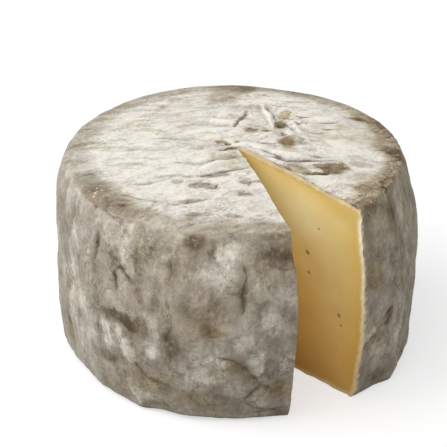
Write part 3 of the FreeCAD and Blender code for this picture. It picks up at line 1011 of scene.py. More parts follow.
def cut_numbers(column, inside_start):
    """Maps the numbers of a cut's own points to the numbers in the whole mesh."""
    tip = list(range(tip_start, right_start))[::-1]
    own = [low_pole] + list(net[column]) + [high_pole] + tip
    return lambda k: own[k] if k < len(own) else inside_start + k - len(own)


right_number, left_number = cut_numbers(0, right_start), cut_numbers(-1, left_start)
right_cut = [tuple(right_number(k) for k in face) for face in right_faces]
left_cut = [tuple(left_number(k) for k in face[::-1]) for face in left_faces]
faces = [tuple(q) for q in quads.tolist()] + [tuple(map(int, cap)) for cap in caps]
skin_face_count = len(faces)
faces += [tuple(map(int, face)) for face in right_cut + left_cut]

wheel_mesh = bpy.data.meshes.new("GoatTomme")
points[:, 2] += foot_corner.z / MM
wheel_mesh.from_pydata((points * MM).tolist(), [], faces)
wheel_mesh.update()
triangles = sum(len(face) - 2 for face in faces)
print(f"one mesh of {len(points)} points and {triangles} triangles")

# %% [markdown]
# ## Sharp only where the knife went
#
# Skin and cut meet in a crisp edge, and so do the two cuts at the tip. An edge is marked sharp
# when the faces on its two sides belong to different parts, and all the rest is shaded smooth.
# The same count shows whether the mesh is closed: every edge then has exactly two faces.

# %% Mark the sharp edges of the cuts
is_cut = np.zeros(len(faces), bool)
is_cut[skin_face_count:] = True
wheel_mesh.shade_smooth()
right_set = set(range(skin_face_count, skin_face_count + len(right_cut)))
edge_sides = {}
for number, face in enumerate(faces):
    in_skin, in_right_cut = number < skin_face_count, number in right_set
    kind = "skin" if in_skin else "right" if in_right_cut else "left"
    for a, b in zip(face, face[1:] + face[:1]):
        edge_sides.setdefault((min(a, b), max(a, b)), []).append(kind)
open_edges = [key for key, kinds in edge_sides.items() if len(kinds) != 2]
sharp_count = 0
for edge in wheel_mesh.edges:
    kinds = edge_sides[tuple(sorted(edge.vertices))]
    edge.use_edge_sharp = len(set(kinds)) > 1
    sharp_count += edge.use_edge_sharp
print(f"{sharp_count} sharp edges, {len(open_edges)} open edges")

# %% [markdown]
# ## What the finish needs to know
#
# The rind's colour depends on where it is. White bloom lies thick on the top and thins out towards
# the rim, the side is a soft grey with paler and darker blots, and brown gathers in smears. Each
# of these is stored as a number at every point, and the finishes below read them. The blots come
# first: each has a place, a size, a lean, and how much paler or darker and how much browner it is.

# %% List the blots of the side
# azimuth, level, width, height, lean, how much paler and how much browner
SIDE_BLOTS = [
    (-75.8, 34, 4.0, 6.5, 4, 0.34, 0),
    (-70.8, 40, 2.2, 5.5, 28, 0.22, 0),
    (-66.0, 32.5, 2.6, 6, 28, 0.28, 0),
    (-57.5, 45, 6, 9, 0, 0.16, 0),
    (-56.5, 34, 3.2, 3, 0, 0.3, 0),
    (-40.8, 29, 9, 6.5, 0, 0.2, 0),
    (-39.5, 27.5, 4.5, 3.2, 0, 0.2, 0),
    (-47.5, 31, 4, 3, 0, 0.12, 0),
    (-24.8, 32, 3.8, 6.5, -12, 0.26, 0),
    (-22.5, 22.5, 2.6, 4.5, -30, 0.16, 0),
    (-15, 31, 3.6, 4, 0, 0.2, 0),
    (-27, 15, 7, 2.6, 10, 0.12, 0),
    (-36, 82, 1.7, 4.5, 10, 0.26, 0),
    (-31, 83.5, 6, 4, 0, 0.17, 0),
    (-54, 77, 4.5, 2, 25, 0.22, 0.3),
    (-77, 86, 5.5, 4.5, 0, 0.14, 0),
    (-72.5, 82.5, 5.5, 5, 0, 0.14, 0),
    (-68, 78.5, 4.5, 5, 0, 0.12, 0),
    (-65, 72, 3, 5, 0, 0.08, 0),
    (-69, 62, 3, 6, 0, 0.1, 0),
    (-92.9, 41.7, 5.5, 3.5, 0, 0.26, 0),
    (-93, 30, 14, 16, 0, 0.07, 0),
    (-62.2, 8, 7, 2.8, 0, 0.2, 0),
    (-20.6, 63, 7, 9, 0, 0.15, 0),
    (-95, 61, 5, 14, 0, 0.1, 0),
    (-83, 60, 5, 11, 0, 0.1, 0),
    (-29, 44, 6, 3, 0, 0.1, 0),
    (20.3, 82, 4, 4, 0, 0.1, 0),
    (36.6, 80, 2.4, 7, 0, 0.14, 0),
    (25, 72, 5, 9, 0, 0.06, 0),
    (34.4, 36, 2.6, 10, 12, 0.17, 0),
    (30.5, 18, 4.5, 7, 0, 0.16, 0),
    (16.5, 31, 5.5, 2, 35, 0.2, 0),
    (20.5, 22, 5, 3.6, 0, 0.14, 0),
    (38.7, 52, 2, 9, 0, 0.12, 0),
    (-76.8, 43, 4.4, 3.6, 0, -0.4, 0.2),
    (-70, 46.4, 6.4, 3.6, -8, -0.42, 0.2),
    (-64.8, 45, 5.4, 4.6, -20, -0.4, 0.3),
    (-61, 45, 3.6, 5.5, 10, -0.42, 0.6),
    (-70.4, 72, 2.6, 1.2, 10, -0.24, 0.1),
    (-72.6, 73.4, 1.2, 2.2, 0, -0.16, 0.1),
    (-71.3, 59.6, 1.1, 1.9, 0, -0.36, 0.2),
    (-82.3, 65, 2, 5, 0, -0.18, 0.4),
    (-62.7, 78.2, 1.4, 2.6, 10, -0.18, 0.1),
    (-50.6, 76.4, 1.6, 2.6, 0, -0.18, 0.1),
    (-51.4, 69.6, 2.2, 3, 0, -0.18, 0.1),
    (-56.5, 77.3, 3.6, 1.3, 0, -0.16, 0.8),
    (-53.2, 75.8, 2.4, 1.2, -40, -0.18, 0.2),
    (-81.2, 51.6, 1.4, 2.8, 20, -0.22, 0.1),
    (-61.6, 61, 2.4, 3.4, 0, -0.16, 0.1),
    (-55.4, 58.5, 1.6, 5, 0, -0.16, 0.1),
    (-28.5, 66.2, 2.6, 3.4, 0, -0.2, 0.1),
    (-19.7, 78.5, 5, 2.2, 10, -0.16, 0.1),
    (-17.6, 75.5, 4, 2.2, 20, -0.18, 0.1),
    (-35, 74.4, 1.6, 1.6, 0, -0.16, 0),
    (-37.4, 86.9, 2.6, 2.6, 0, -0.16, 0.3),
    (-40.7, 64.5, 4, 0.9, -5, -0.18, 0.1),
    (-24.2, 59.6, 1.2, 3.6, -20, -0.15, 0.1),
    (-16.6, 60.6, 1.6, 5, 0, -0.15, 0.1),
    (-40, 59, 13, 7, 0, -0.15, 0.15),
    (-40.4, 84.8, 1.3, 1, 0, 0.2, 0),
    (-34.3, 76.6, 1, 2.6, 20, 0.18, 0),
    (-49.8, 86.6, 2.2, 5.5, 0, 0.14, 0),
    (-43.4, 73.8, 3.4, 2.6, 0, 0.14, 0),
    (-34.3, 70, 8, 6, 0, 0.07, 0),
    (-25.2, 65.9, 3.4, 3, 0, 0.12, 0),
    (-51.4, 41, 4.4, 7, 0, -0.17, 0.1),
    (-45.2, 88, 7, 5.5, 0, -0.22, 0.5),
    (-38.6, 83, 2.2, 2.4, 0, -0.2, 0.3),
    (-79.2, 72, 2, 8, 0, -0.18, 0.1),
    (-29.2, 70, 2.4, 9, 0, -0.18, 0.1),
    (-20, 79, 10, 6, 0, -0.2, 0.45),
    (-15, 75, 5, 3, 0, -0.12, 0.45),
    (-17, 91, 12, 3, 0, -0.14, 0.4),
    (-38, 50.6, 7, 2.4, -6, -0.18, 0.9),
    (-28.5, 30, 3, 6, 25, -0.14, 0.8),
    (-24.5, 24, 2, 8, 48, -0.22, 0.6),
    (-18, 17, 6, 5, 0, -0.12, 0.7),
    (-57, 18, 10, 6.5, 0, -0.15, 0.55),
    (-48, 14, 8, 4, 0, -0.06, 0.5),
    (-38, 13, 11, 4, 0, -0.08, 0.2),
    (-75.7, 22.5, 6.5, 3.6, 0, -0.2, 0.3),
    (-50.6, 73, 1.8, 5, 0, -0.18, 0.1),
    (-40, 61.6, 9, 7, 0, -0.07, 0),
    (-86, 91, 6, 2.4, 0, -0.25, 0.8),
    (-104, 20, 4, 11, 0, -0.16, 0.6),
    (27, 36, 2.6, 6, -35, -0.22, 0.7),
    (18, 58, 7, 5, 0, -0.1, 0.8),
    (31, 79, 4, 8, 0, -0.2, 0.3),
    (36, 62, 2.4, 13, 0, -0.14, 0.1),
    (22, 7, 10, 4, 0, -0.16, 0.2),
    (18, 89, 8, 4, 0, -0.22, 0.3),
]
print(f"{len(SIDE_BLOTS)} blots on the side")

# %% [markdown]
# ## The blots of the top
#
# On the top brown damp patches sit in the pits of the navel and beside the right-hand cut. Small
# dark spots lie in rows in front, and the bloom is rubbed off in patches near the rim. Most of
# them lean the way in which the cloth was pulled, which is 31 degrees here.

# %% List the blots of the top
# x, y, width, height, lean, how much paler and how much browner
TOP_BLOTS = [
    (27.4, 8.8, 4.2, 2.2, 44, -0.5, 1.1),
    (34.6, 15.8, 5.5, 1.9, 40, -0.3, 1.3),
    (40, 10.5, 2.8, 0.9, -31, -0.4, 0.4),
    (22.4, -1.6, 1.4, 1.1, 0, -0.42, 0.3),
    (15.5, 22.5, 8, 1.2, 41, -0.32, 0.5),
    (19.5, 5, 2.6, 1.3, -31, -0.4, 0.6),
    (23.6, -27.3, 2.6, 0.9, -31, -0.36, 0.1),
    (-5.5, -1.2, 3.2, 0.9, 0, -0.5, 0.7),
    (19.7, -9.4, 4.2, 5.2, -31, -0.4, 1.4),
    (13.1, 8.4, 3.4, 2.6, -31, -0.4, 0.5),
    (-6.2, 5.5, 3, 1.6, -31, -0.5, 0.8),
    (-2.6, -3.2, 3, 1.6, -20, -0.45, 0.8),
    (0.4, 2.6, 2, 1, -31, -0.6, 1),
    (-3.6, 2.4, 1.6, 1, 20, -0.6, 1),
    (-11, -11, 9, 4.5, -31, -0.2, 0.5),
    (-23.5, -19.3, 6, 1.5, -31, -0.42, 0.5),
    (-33.5, -23, 4.5, 2.6, -31, -0.42, 0.4),
    (-40, -16, 3, 2, -31, -0.3, 0.4),
    (-15.5, -31.2, 3.4, 1.4, -31, -0.4, 0.3),
    (-9.5, -33.2, 3, 1.2, -31, -0.34, 0.3),
    (-22, -40, 3.4, 1.5, -31, -0.36, 0.2),
    (-43.9, -32.2, 4.6, 1.4, -31, -0.32, 0.3),
    (-29.6, -28.5, 3, 1.2, -31, -0.4, 0.3),
    (-47, -43, 4.4, 1.6, -31, -0.28, 0.2),
    (-33, -52, 3.6, 1.6, -31, -0.28, 0.2),
    (10, -33.5, 3.2, 8, 12.8, -0.34, 0.4),
    (23.8, -38.5, 7, 5.2, -31, -0.6, 0.9),
    (20, -34, 4, 1.4, -31, -0.4, 0.6),
    (15.9, -40, 4.2, 1.6, -31, -0.62, 0.3),
    (40, -15, 7, 1.3, -31, -0.26, 0.2),
    (62, 0.5, 3.6, 1.9, -31, -0.36, 0.5),
    (69, -15, 4, 14, 10, -0.22, 0.6),
    (61, -41, 5, 16, 35, -0.38, 0.7),
    (38.7, -42, 5, 2.6, -31, -0.2, 0.3),
    (40, -60, 14, 9, -31, -0.16, 0.3),
    (14, -49, 5, 4, -31, 0.1, 0),
    (20, -60, 7, 5, -31, 0.14, 0),
    (-30, -66, 27, 4.5, -24, -0.1, 0.2),
    (48, -12, 16, 10, -31, -0.1, 0.25),
    (44, 33, 14, 5, -31, 0.08, 0),
    (16, 1, 5, 1.2, -31, 0.16, 0),
    (-72, -12, 9, 18, 0, -0.26, 0.3),
    (40, 62, 30, 8, 35, -0.28, 0.3),
    (62, 38, 10, 12, 0, -0.2, 0.2),
]
print(f"{len(TOP_BLOTS)} blots on the top")

# %% [markdown]
# ## The blots at the back
#
# The far side has the same kinds of blots, scattered with the dice that placed its creases. A
# pale blot is bloom, so only a dark one may be brown.

# %% Scatter blots over the far side
FAR_BLOTS = 90
for _ in range(FAR_BLOTS):
    azimuth = (dice.uniform(58, 238) + 180) % 360 - 180
    paler = dice.choice([-1, 1]) * dice.uniform(0.1, 0.34)
    size = dice.uniform(1.6, 8, 2)
    browner = max(0, dice.uniform(-0.2, 0.8)) * (paler < 0)
    level, lean = dice.uniform(5, 90), dice.uniform(-30, 30)
    SIDE_BLOTS.append((azimuth, level, *size, lean, paler, browner))
print(f"{len(SIDE_BLOTS)} blots on the side and the back")

# %% [markdown]
# ## Bloom and brown
#
# The first stored number is the tone: 0 is the darkest brown-grey and 1 the whitest bloom. The
# side has a middle tone. The top is paler, and the more so where the bloom reaches. The second
# number is the brown, which clouds the side, most of all to the right of the notch.

# %% Lay out the bloom and the brown
# how far out the white bloom of the top begins to thin, and where it ends
BLOOM_THINS, BLOOM_ENDS = 60, 71.5
# the tone of the side, and what the bare top and the bloom add to it
SIDE_TONE, TOP_PALER, BLOOM_PALER = 0.51, 0.08, 0.38
crown = np.clip(soften(on_top, 1.0, 1.6), 0, 1)
bloom = ramp(outs + 0.8 * stray_b + 3 * dimples, BLOOM_ENDS, BLOOM_THINS)
tone = SIDE_TONE + crown * (TOP_PALER + BLOOM_PALER * bloom)
# the bloom is thinner round the navel
tone -= crown * 0.05 * ramp(from_gather, 26, 10)
brown = 0.15 + 0.5 * np.clip(clouds(places, 22, 40, 3), 0, 1)
# browner to the right of the notch, and greyer on the left side and under the bloom
brown += 0.15 * ramp(unrolled, 8, 20) * ramp(unrolled, 90, 50)
brown *= 1 - 0.85 * crown * bloom
brown *= 1 - 0.6 * ramp(unrolled, -62, -78) * ramp(unrolled, -150, -120)
print(f"the tones run from {tone.min():.2f} to {tone.max():.2f}")

# %% [markdown]
# ## Blots laid over each other
#
# Where blots overlap, they don't add up. The tone there is the average of theirs, and each counts
# as much as it covers. How far the skin is covered at all is kept as a number of its own: the
# finish roughens it with noise, and so every blot gets a feathered edge.

# %% Average the blots
# the average of a few blots is milder than one of them, and this makes up for it
BLOT_GAIN = 1.15
blots = [(on_side_at(*blot[:5]) * (1 - crown), *blot[5:]) for blot in SIDE_BLOTS]
blots += [(on_top_at(*blot[:5]), *blot[5:]) for blot in TOP_BLOTS]
blot_cover, blot_tone, blot_brown = np.zeros((3,) + levels.shape)
covers = np.full(levels.shape, 1e-3)
for cover, paler, browner in blots:
    covers += cover
    blot_tone += paler * cover
    blot_brown += browner * cover
    blot_cover = np.maximum(blot_cover, cover)
blot_tone *= BLOT_GAIN / covers
blot_brown /= covers
# the collar stays clean
collar = stroke(crease_x, crease_y, COLLAR_PATH, 3.6) * on_top
blot_cover *= 1 - collar
print(f"blots cover {(blot_cover > 0.5).mean():.0%} of the skin")

# %% [markdown]
# ## Clouds on the side, streaks on the top
#
# The side is clouded softly at two sizes. On the top the bloom was dragged by the cloth, so it is
# streaked along the pull and away from the gathering. In front the streaks break up into short
# dark specks, and the right is the calmest part.

# %% Add the clouds and the streaks
tone += (1 - crown) * (0.1 * clouds(places, 26, 41, 3) + 0.12 * clouds(places, 9, 42, 3))
tone += (1 - crown) * 0.1 * ramp(clouds(places, 15, 43, 2), 0.15, 0.5)
in_front = ramp(across_y, -18, -32) * ramp(across_x, 10, -5)
long_streaks = clouds(pulled(16, 2.6), 1.0, 44, 3)
short_streaks = clouds(pulled(5.5, 3.0), 1.0, 50, 3)
pull_streaks = in_front * short_streaks + (1 - in_front) * long_streaks
fan_streaks = clouds(fanned(3.2, 18, 0.008), 1.0, 46, 3)
streaks = near_gather * fan_streaks + (1 - near_gather) * pull_streaks
rubbed = clouds(pulled(20, 8), 1.0, 45, 3) - 0.12 * in_front
# how dark the streaks and the rubbed patches are, where the top isn't calmer
STREAK_DARK, RUBBED_DARK = 0.17, 0.13
calm = 1 - 0.6 * to_the_right - 0.45 * in_front
dragged = STREAK_DARK * ramp(streaks, 0.14, 0.44) + RUBBED_DARK * ramp(rubbed, 0.12, 0.46)
tone -= crown * (0.025 + calm * dragged)
tone += crown * to_the_right * (0.04 - 0.12 * ramp(clouds(places, 9, 51, 3), 0.05, 0.4))
tone += crown * 0.05 * clouds(places, 5, 47, 3)
brown += crown * 0.35 * ramp(streaks, 0.1, 0.6)
specks = crown * (0.2 + 0.6 * in_front) * ramp(clouds(places, 14, 52, 2), -0.3, 0.2)
print(f"with clouds and streaks the tones run from {tone.min():.2f} to {tone.max():.2f}")

# %% [markdown]
# ## The rim and the foot
#
# The rim is rubbed whenever the cheese is turned. The bloom comes off there, and cream crumbs of
# the crust show, mostly along the right. Where the foot meets the board the rind is painted a
# little darker, as shade.

# %% Rub the rim
# darker, browner and more crumbly along the right-hand rim
RIM_DARK, RIM_BROWN, RIM_CRUMBS = 0.2, 0.5, 0.55
# painted shade along the foot, where it stands on the board
FOOT_PAINTED_SHADE = 0.22
tone -= FOOT_PAINTED_SHADE * ramp(levels, 3.5, 0.5) * on_side
rim_crumbs = ramp(face_up, 0.15, 0.5) * ramp(face_up, 0.98, 0.75) * ramp(outs, 62, 72)
rim_crumbs *= ramp(clouds(places, 16, 49, 2), 0.05, 0.4)
# one crumbly spot on the left of the rim
rim_crumbs = np.maximum(rim_crumbs, ramp(on_side_at(-87, 92, 6, 2.4), 0.2, 0.6))
on_the_right = ramp(unrolled, 6, 22) * ramp(unrolled, 125, 90)
right_rim = ramp(outs + 1.5 * stray_b, 61, 67) * ramp(face_up, 0.2, 0.5) * on_the_right
tone -= RIM_DARK * right_rim
brown += RIM_BROWN * right_rim
specks = np.maximum(specks, right_rim)
rim_crumbs = np.maximum(rim_crumbs, RIM_CRUMBS * right_rim)
print(f"{(rim_crumbs > 0.3).mean():.0%} of the skin has crumbs")

# %% [markdown]
# ## White folds and the last touches
#
# Bloom grows thickest on what stands out, so the welts of the top are its whitest lines. Along
# the right-hand cut the knife pressed a dark seam into the rind. A few broad touches follow where
# the side or the top is a little paler.

# %% Whiten the folds and draw the seam
WHITEST, SEAM_DARK, SEAM_BROWN = 0.98, 0.25, 0.6
white_folds = np.zeros(levels.shape)
for height, breadth, path in TOP_WELTS:
    fold = min(1, 1.1 * height) * stroke(crease_x, crease_y, path, 1.15 * breadth) * on_top
    white_folds = np.maximum(white_folds, fold)
tone += 0.85 * white_folds * (WHITEST - tone)
brown *= 1 - 0.8 * white_folds
brown *= 1 - 0.7 * on_side_at(-52, 92, 18, 8)
specks *= 1 - np.maximum(white_folds, collar)
beside_cut = (turns - turns[0])[:, None] * outs
seam = ramp(beside_cut, 1.8, 0.4) * on_top * ramp(outs, 3, 10)
tone -= SEAM_DARK * seam
brown += SEAM_BROWN * seam
tone += 0.07 * on_side_at(-88, 50, 16, 13) + 0.05 * on_side_at(-41, 22, 10, 9)
tone += 0.05 * crown * on_top_at(42, -10, 9, 12, -31)
print(f"in the end the tones run from {tone.min():.2f} to {tone.max():.2f}")

# %% [markdown]
# ## Storing the numbers
#
# A point attribute keeps one number at each point of the mesh, and a shader can read it by its
# name. It stays on the skin when the cheese is turned or exported, unlike anything that depends
# on the view. One more is worked out first: the torn crust beside the right-hand cut.


# %% Store them on the mesh
def store(name, net_values, other=0.0):
    """Saves one number per point: the net's own values, and one value for all other points."""
    layer = wheel_mesh.attributes.new(name, "FLOAT", "POINT")
    values = np.full(len(points), other, np.float32)
    values[:net_count] = net_values.reshape(-1)
    layer.data.foreach_set("value", values)


# how wide the torn crust shows beside the right-hand cut, in millimetres
TORN_WIDTH = 1.3
torn = ramp(beside_cut + 1.5 * clouds(places, 2.2, 48, 2), TORN_WIDTH, 0.3) * (1 - on_top)
store("tone", np.clip(tone, 0, 1.1), 0.85)
store("brown", np.clip(brown, 0, 1.2), 0.2)
store("groove", np.clip(groove, 0, 1.5))
store("hollow", np.clip(hollows, -1, 1))
store("top", crown, 1.0)
store("line_off", line_off, NO_CREASE)
plain = {"blot_cover": blot_cover, "blot_tone": blot_tone, "blot_brown": blot_brown}
plain |= {"specks": specks, "crumbs": rim_crumbs, "torn": torn, "line_near": line_near}
for name, values in plain.items():
    store(name, values)
print(f"{len(wheel_mesh.attributes)} attributes are on the mesh")

# %% [markdown]
# ## How deep the paste lies
#
# The paste changes colour with its distance from the rind. For each inner point of a cut that is
# the shortest way to the cut's outline. The eyes are stored too, since they are painted darker
# inside, as shade.


# %% Measure the depth of the paste
def crust_depth(inside, column):
    """How far each inner point of a cut lies under the rind, in millimetres."""
    rim = np.stack([outs[column], levels[column]], axis=-1)
    starts, runs = rim[:-1], np.diff(rim, axis=0)
    gaps = inside[:, None, :2] - starts
    share = np.clip((gaps * runs).sum(-1) / (runs**2).sum(-1), 0, 1)
    return np.linalg.norm(gaps - share[..., None] * runs, axis=-1).min(axis=1)


depth_values = np.zeros(len(points), np.float32)
tip_flat = np.stack([0 * tip_levels, tip_levels], axis=-1)
depth_values[tip_start:right_start] = crust_depth(tip_flat, 0)
depth_values[right_start:left_start] = crust_depth(right_inside, 0)
depth_values[left_start:] = crust_depth(left_inside, -1)
eye_values = np.zeros(len(points), np.float32)
eye_values[right_start:left_start] = right_inside[:, 2]
eye_values[left_start:] = left_inside[:, 2]
for name, values in (("depth", depth_values), ("eye", eye_values)):
    wheel_mesh.attributes.new(name, "FLOAT", "POINT").data.foreach_set("value", values)
print(f"the paste is up to {depth_values.max():.0f} mm deep under the rind")

# %% [markdown]
# ## Mixing values
#
# A finish is mostly sums and products: stored numbers and noises that are added, multiplied and
# stretched from one range to another. Each of these steps is a node. The helpers below name them,
# so that the recipes of rind and paste stay short.


# %% Helpers that mix values
def value_of(tree, name):
    """Reads one of the numbers that are stored at every point."""
    return add_node(tree, "ShaderNodeAttribute", attribute_name=name).outputs["Fac"]


def math_node(tree, operation, *values, clamp=False):
    """Adds, multiplies or otherwise treats one or two values."""
    made = add_node(tree, "ShaderNodeMath", dict(enumerate(values)), operation=operation)
    made.use_clamp = clamp
    return made.outputs[0]


def total(tree, *values):
    """The sum of several values."""
    result = values[0]
    for value in values[1:]:
        result = math_node(tree, "ADD", result, value)
    return result


def product(tree, *values):
    """The product of several values."""
    result = values[0]
    for value in values[1:]:
        result = math_node(tree, "MULTIPLY", result, value)
    return result


def stepped(tree, value, low, high, low_out=0.0, high_out=1.0):
    """Stretches a value smoothly from one range to another."""
    ends = {"From Min": low, "From Max": high, "To Min": low_out, "To Max": high_out}
    made = add_node(
        tree, "ShaderNodeMapRange", {"Value": value, **ends}, interpolation_type="SMOOTHSTEP"
    )
    return made.outputs["Result"]


print("value helpers are ready")

# %% [markdown]
# ## Noise in the finish
#
# The same kind of noise that shaped the lumps can be had as a node, and there it is as fine as
# the view asks for. It is given by the size of its blotches. For most uses it has to swing up and
# down round 0, so that it makes the rind as often paler as darker.


# %% Helpers for noise
def mottle(tree, place, span, detail=3.0, roughness=0.55, distortion=0.0):
    """Noise with blotches about a span across, in metres."""
    kind = {"Detail": detail, "Roughness": roughness, "Distortion": distortion}
    sockets = {"Vector": place, "Scale": 1.0 / span, **kind}
    return add_node(tree, "ShaderNodeTexNoise", sockets).outputs["Fac"]


def swing(tree, value, amount):
    """Noise as a swing up and down round 0."""
    return product(tree, math_node(tree, "SUBTRACT", value, 0.5), amount)


print("noise helpers are ready")

# %% [markdown]
# ## Mixing colours
#
# Colours are written here as they look on a screen, since that is how a maker compares them with
# a real cheese, and turned into the light values that Blender reckons with. They are laid over
# each other like coats of paint, or picked from a row of tones by one value.


# %% Helpers for colour
def colour(red, green, blue):
    """A colour as it looks on a screen, from 0 to 255, turned into light values."""

    def light(shade):
        shade /= 255
        return shade / 12.92 if shade <= 0.04045 else ((shade + 0.055) / 1.055) ** 2.4

    return (light(red), light(green), light(blue), 1.0)


def blend(tree, share, under, over, how="MIX"):
    """Lays one colour over another."""
    made = tree.nodes.new("ShaderNodeMix")
    made.data_type = "RGBA"
    made.blend_type = how
    sockets = {s.identifier: s for s in made.inputs}
    for key, value in (("Factor_Float", share), ("A_Color", under), ("B_Color", over)):
        if isinstance(value, bpy.types.NodeSocket):
            tree.links.new(value, sockets[key])
        else:
            sockets[key].default_value = value
    return next(s for s in made.outputs if s.identifier == "Result_Color")


def ramp_colours(tree, value, stops):
    """Colours that change with a value: a list of values from 0 up and their colours."""
    highest = stops[-1][0]
    made = add_node(tree, "ShaderNodeValToRGB", {"Fac": math_node(tree, "DIVIDE", value, highest)})
    band = made.color_ramp
    while len(band.elements) < len(stops):
        band.elements.new(0.5)
    for element, (where, shade) in zip(band.elements, stops):
        element.position = where / highest
        element.color = shade
    return made.outputs["Color"]


print("colour helpers are ready")

# %% [markdown]
# ## The rind's noises
#
# A natural rind is a grey-beige felt of moulds. It is clouded at every size: blotches as wide as a
# fingertip, specks and a fine grain. On the side the blotches stand a little taller than wide,
# and on the top they are drawn out along the pull. Every part of the finish uses the same few
# noises, so they are made once.


# %% Make the rind's noises
def rind_noises(tree):
    """The noises of the rind by name, each about 0 to 1, and where on the rind we are."""
    place = add_node(tree, "ShaderNodeTexCoord").outputs["Object"]
    upright = add_node(tree, "ShaderNodeMapping", {"Vector": place, "Scale": (1, 1, 0.6)})
    to_the_pull = (0, 0, math.radians(90 - PULL_AZIMUTH))
    along_the_pull = {"Vector": place, "Rotation": to_the_pull, "Scale": (0.4, 1, 1)}
    pulled_out = add_node(tree, "ShaderNodeMapping", along_the_pull).outputs[0]
    on_the_top = value_of(tree, "top")
    return SimpleNamespace(
        on_the_top=on_the_top,
        on_the_side=math_node(tree, "SUBTRACT", 1.0, on_the_top),
        side_blotch=mottle(tree, upright.outputs[0], 0.007, 6.0, 0.66, 0.3),
        top_blotch=mottle(tree, pulled_out, 0.004, 5.0, 0.66, 0.2),
        speck=mottle(tree, pulled_out, 0.0022, 3.0, 0.62, 0.3),
        wrinkle=mottle(tree, upright.outputs[0], 0.014, 5.0, 0.62, 0.4),
        tint=mottle(tree, place, 0.016, 3.0, 0.55),
        shiver=mottle(tree, place, 0.002, 3.0, 0.6),
        grain=mottle(tree, place, 0.0019, 3.0, 0.6),
        fine=mottle(tree, place, 0.0008, 2.0, 0.6),
    )


print("the rind's noises are ready")

# %% [markdown]
# ## The rind's tone
#
# The tone starts from the number that was stored, and the noises swing it up and down. A blot
# counts only where its cover and the noises together pass a threshold, which gives it a ragged,
# feathered edge. Hollows are painted a little darker as shade and crests a little paler as light,
# and a net of hair-thin cracks runs through the felt.


# %% Mix the rind's tone
# how strongly the noises roughen the edge of a blot, and how strongly they show in the tone
EDGE_SWINGS = {"side": 1.4, "top": 1.8, "grain": 0.8, "fine": 0.4}
TONE_SWINGS = {"side": 0.9, "top": 0.6, "grain": 0.5, "fine": 0.34}
# the hollow value paints shade into the hollows of the skin and light onto its crests
SPECK_DARK, HOLLOW_PAINTED_SHADING = -0.3, -0.22


def swings(tree, noises, amounts):
    """The noises added up, each by its own amount, and the blotches only on their own region."""
    return total(
        tree,
        product(tree, swing(tree, noises.side_blotch, amounts["side"]), noises.on_the_side),
        product(tree, swing(tree, noises.top_blotch, amounts["top"]), noises.on_the_top),
        swing(tree, noises.grain, amounts["grain"]),
        swing(tree, noises.fine, amounts["fine"]),
    )


def cracks(tree, noises):
    """Hair-thin dark lines where the wrinkle noise crosses its middle."""
    off_line = math_node(tree, "ABSOLUTE", swing(tree, noises.wrinkle, 1.0))
    line = stepped(tree, off_line, 0.0, 0.016, 1.0, 0.0)
    return product(tree, line, stepped(tree, noises.tint, 0.44, 0.58, 0.04, 0.22))


def rind_tone(tree, noises, in_blot):
    """How pale the rind is, from 0 to 1."""
    speck = stepped(tree, noises.speck, 0.57, 0.63)
    tone = total(
        tree,
        value_of(tree, "tone"),
        product(tree, value_of(tree, "blot_tone"), in_blot),
        product(tree, value_of(tree, "specks"), speck, SPECK_DARK),
        swings(tree, noises, TONE_SWINGS),
        # painted shade in the hollows and painted light on the crests
        product(tree, value_of(tree, "hollow"), HOLLOW_PAINTED_SHADING),
    )
    return math_node(tree, "SUBTRACT", tone, cracks(tree, noises))


print("the rind's tone is ready")

# %% [markdown]
# ## The rind's colours
#
# The tone picks a grey-beige between dark and white. Brown, olive and a breath of lilac are laid
# on by multiplying, as a thin glaze would be, so the light and dark of the tone stay visible.


# %% Colour the rind
RIND_TONES = [
    (0.0, colour(84, 70, 54)),
    (0.2, colour(120, 108, 92)),
    (0.4, colour(152, 143, 128)),
    (0.55, colour(171, 163, 149)),
    (0.7, colour(193, 187, 175)),
    (0.85, colour(215, 210, 200)),
    (1.0, colour(234, 230, 221)),
]
BROWN_TINT = (1.0, 0.895, 0.7, 1)
OLIVE_TINT = (0.985, 0.975, 0.94, 1)
LILAC_TINT = (1.0, 0.965, 0.98, 1)


def rind_colour(tree, noises, in_blot):
    """The felt with its bloom and its stains."""
    felt = ramp_colours(tree, rind_tone(tree, noises, in_blot), RIND_TONES)
    stains = product(tree, value_of(tree, "blot_brown"), in_blot)
    brown = total(tree, value_of(tree, "brown"), stains)
    brown = product(tree, brown, stepped(tree, noises.side_blotch, 0.3, 0.65, 0.5, 1.2))
    felt = blend(tree, math_node(tree, "MINIMUM", brown, 1.0), felt, BROWN_TINT, "MULTIPLY")
    olive = product(tree, stepped(tree, noises.tint, 0.5, 0.62), noises.on_the_side)
    felt = blend(tree, olive, felt, OLIVE_TINT, "MULTIPLY")
    lilac = product(tree, stepped(tree, noises.tint, 0.5, 0.38), noises.on_the_side)
    return blend(tree, lilac, felt, LILAC_TINT, "MULTIPLY")


print(f"{len(RIND_TONES)} tones from dark to white")

# %% [markdown]
# ## Painted shade in the creases and hollows
#
# The creases and hollows are painted darker, as the shade that falls in them. The groove as a
# whole is a little darker, and at its bottom runs a fine dark line. That line is drawn where the
# stored distance from the crease is next to nothing, and a shiver in the distance keeps it from
# being as even as a pen's.


# %% Paint the shade in the creases
# the colour of the painted shade in the creases and hollows
CREASE_SHADE_COLOUR = colour(74, 60, 44)
# how far the fine line shivers, and where it is darkest and gone, in millimetres
LINE_SHIVER, LINE_CORE, LINE_EDGE = 1.4, 0.1, 0.65
# how strongly the painted shade fills a groove, and how much of the rind's colour it covers at
# most
GROOVE_PAINTED_SHADE, ALL_PAINTED_SHADE = 0.35, 0.75


def crease_lines(tree, noises):
    """The fine dark lines of painted shade at the bottom of the creases."""
    off = total(tree, value_of(tree, "line_off"), swing(tree, noises.shiver, LINE_SHIVER))
    line = stepped(tree, math_node(tree, "ABSOLUTE", off), LINE_CORE, LINE_EDGE, 1.0, 0.0)
    patchy = stepped(tree, noises.side_blotch, 0.36, 0.6, 0.3, 0.8)
    return product(tree, product(tree, line, value_of(tree, "line_near")), patchy)


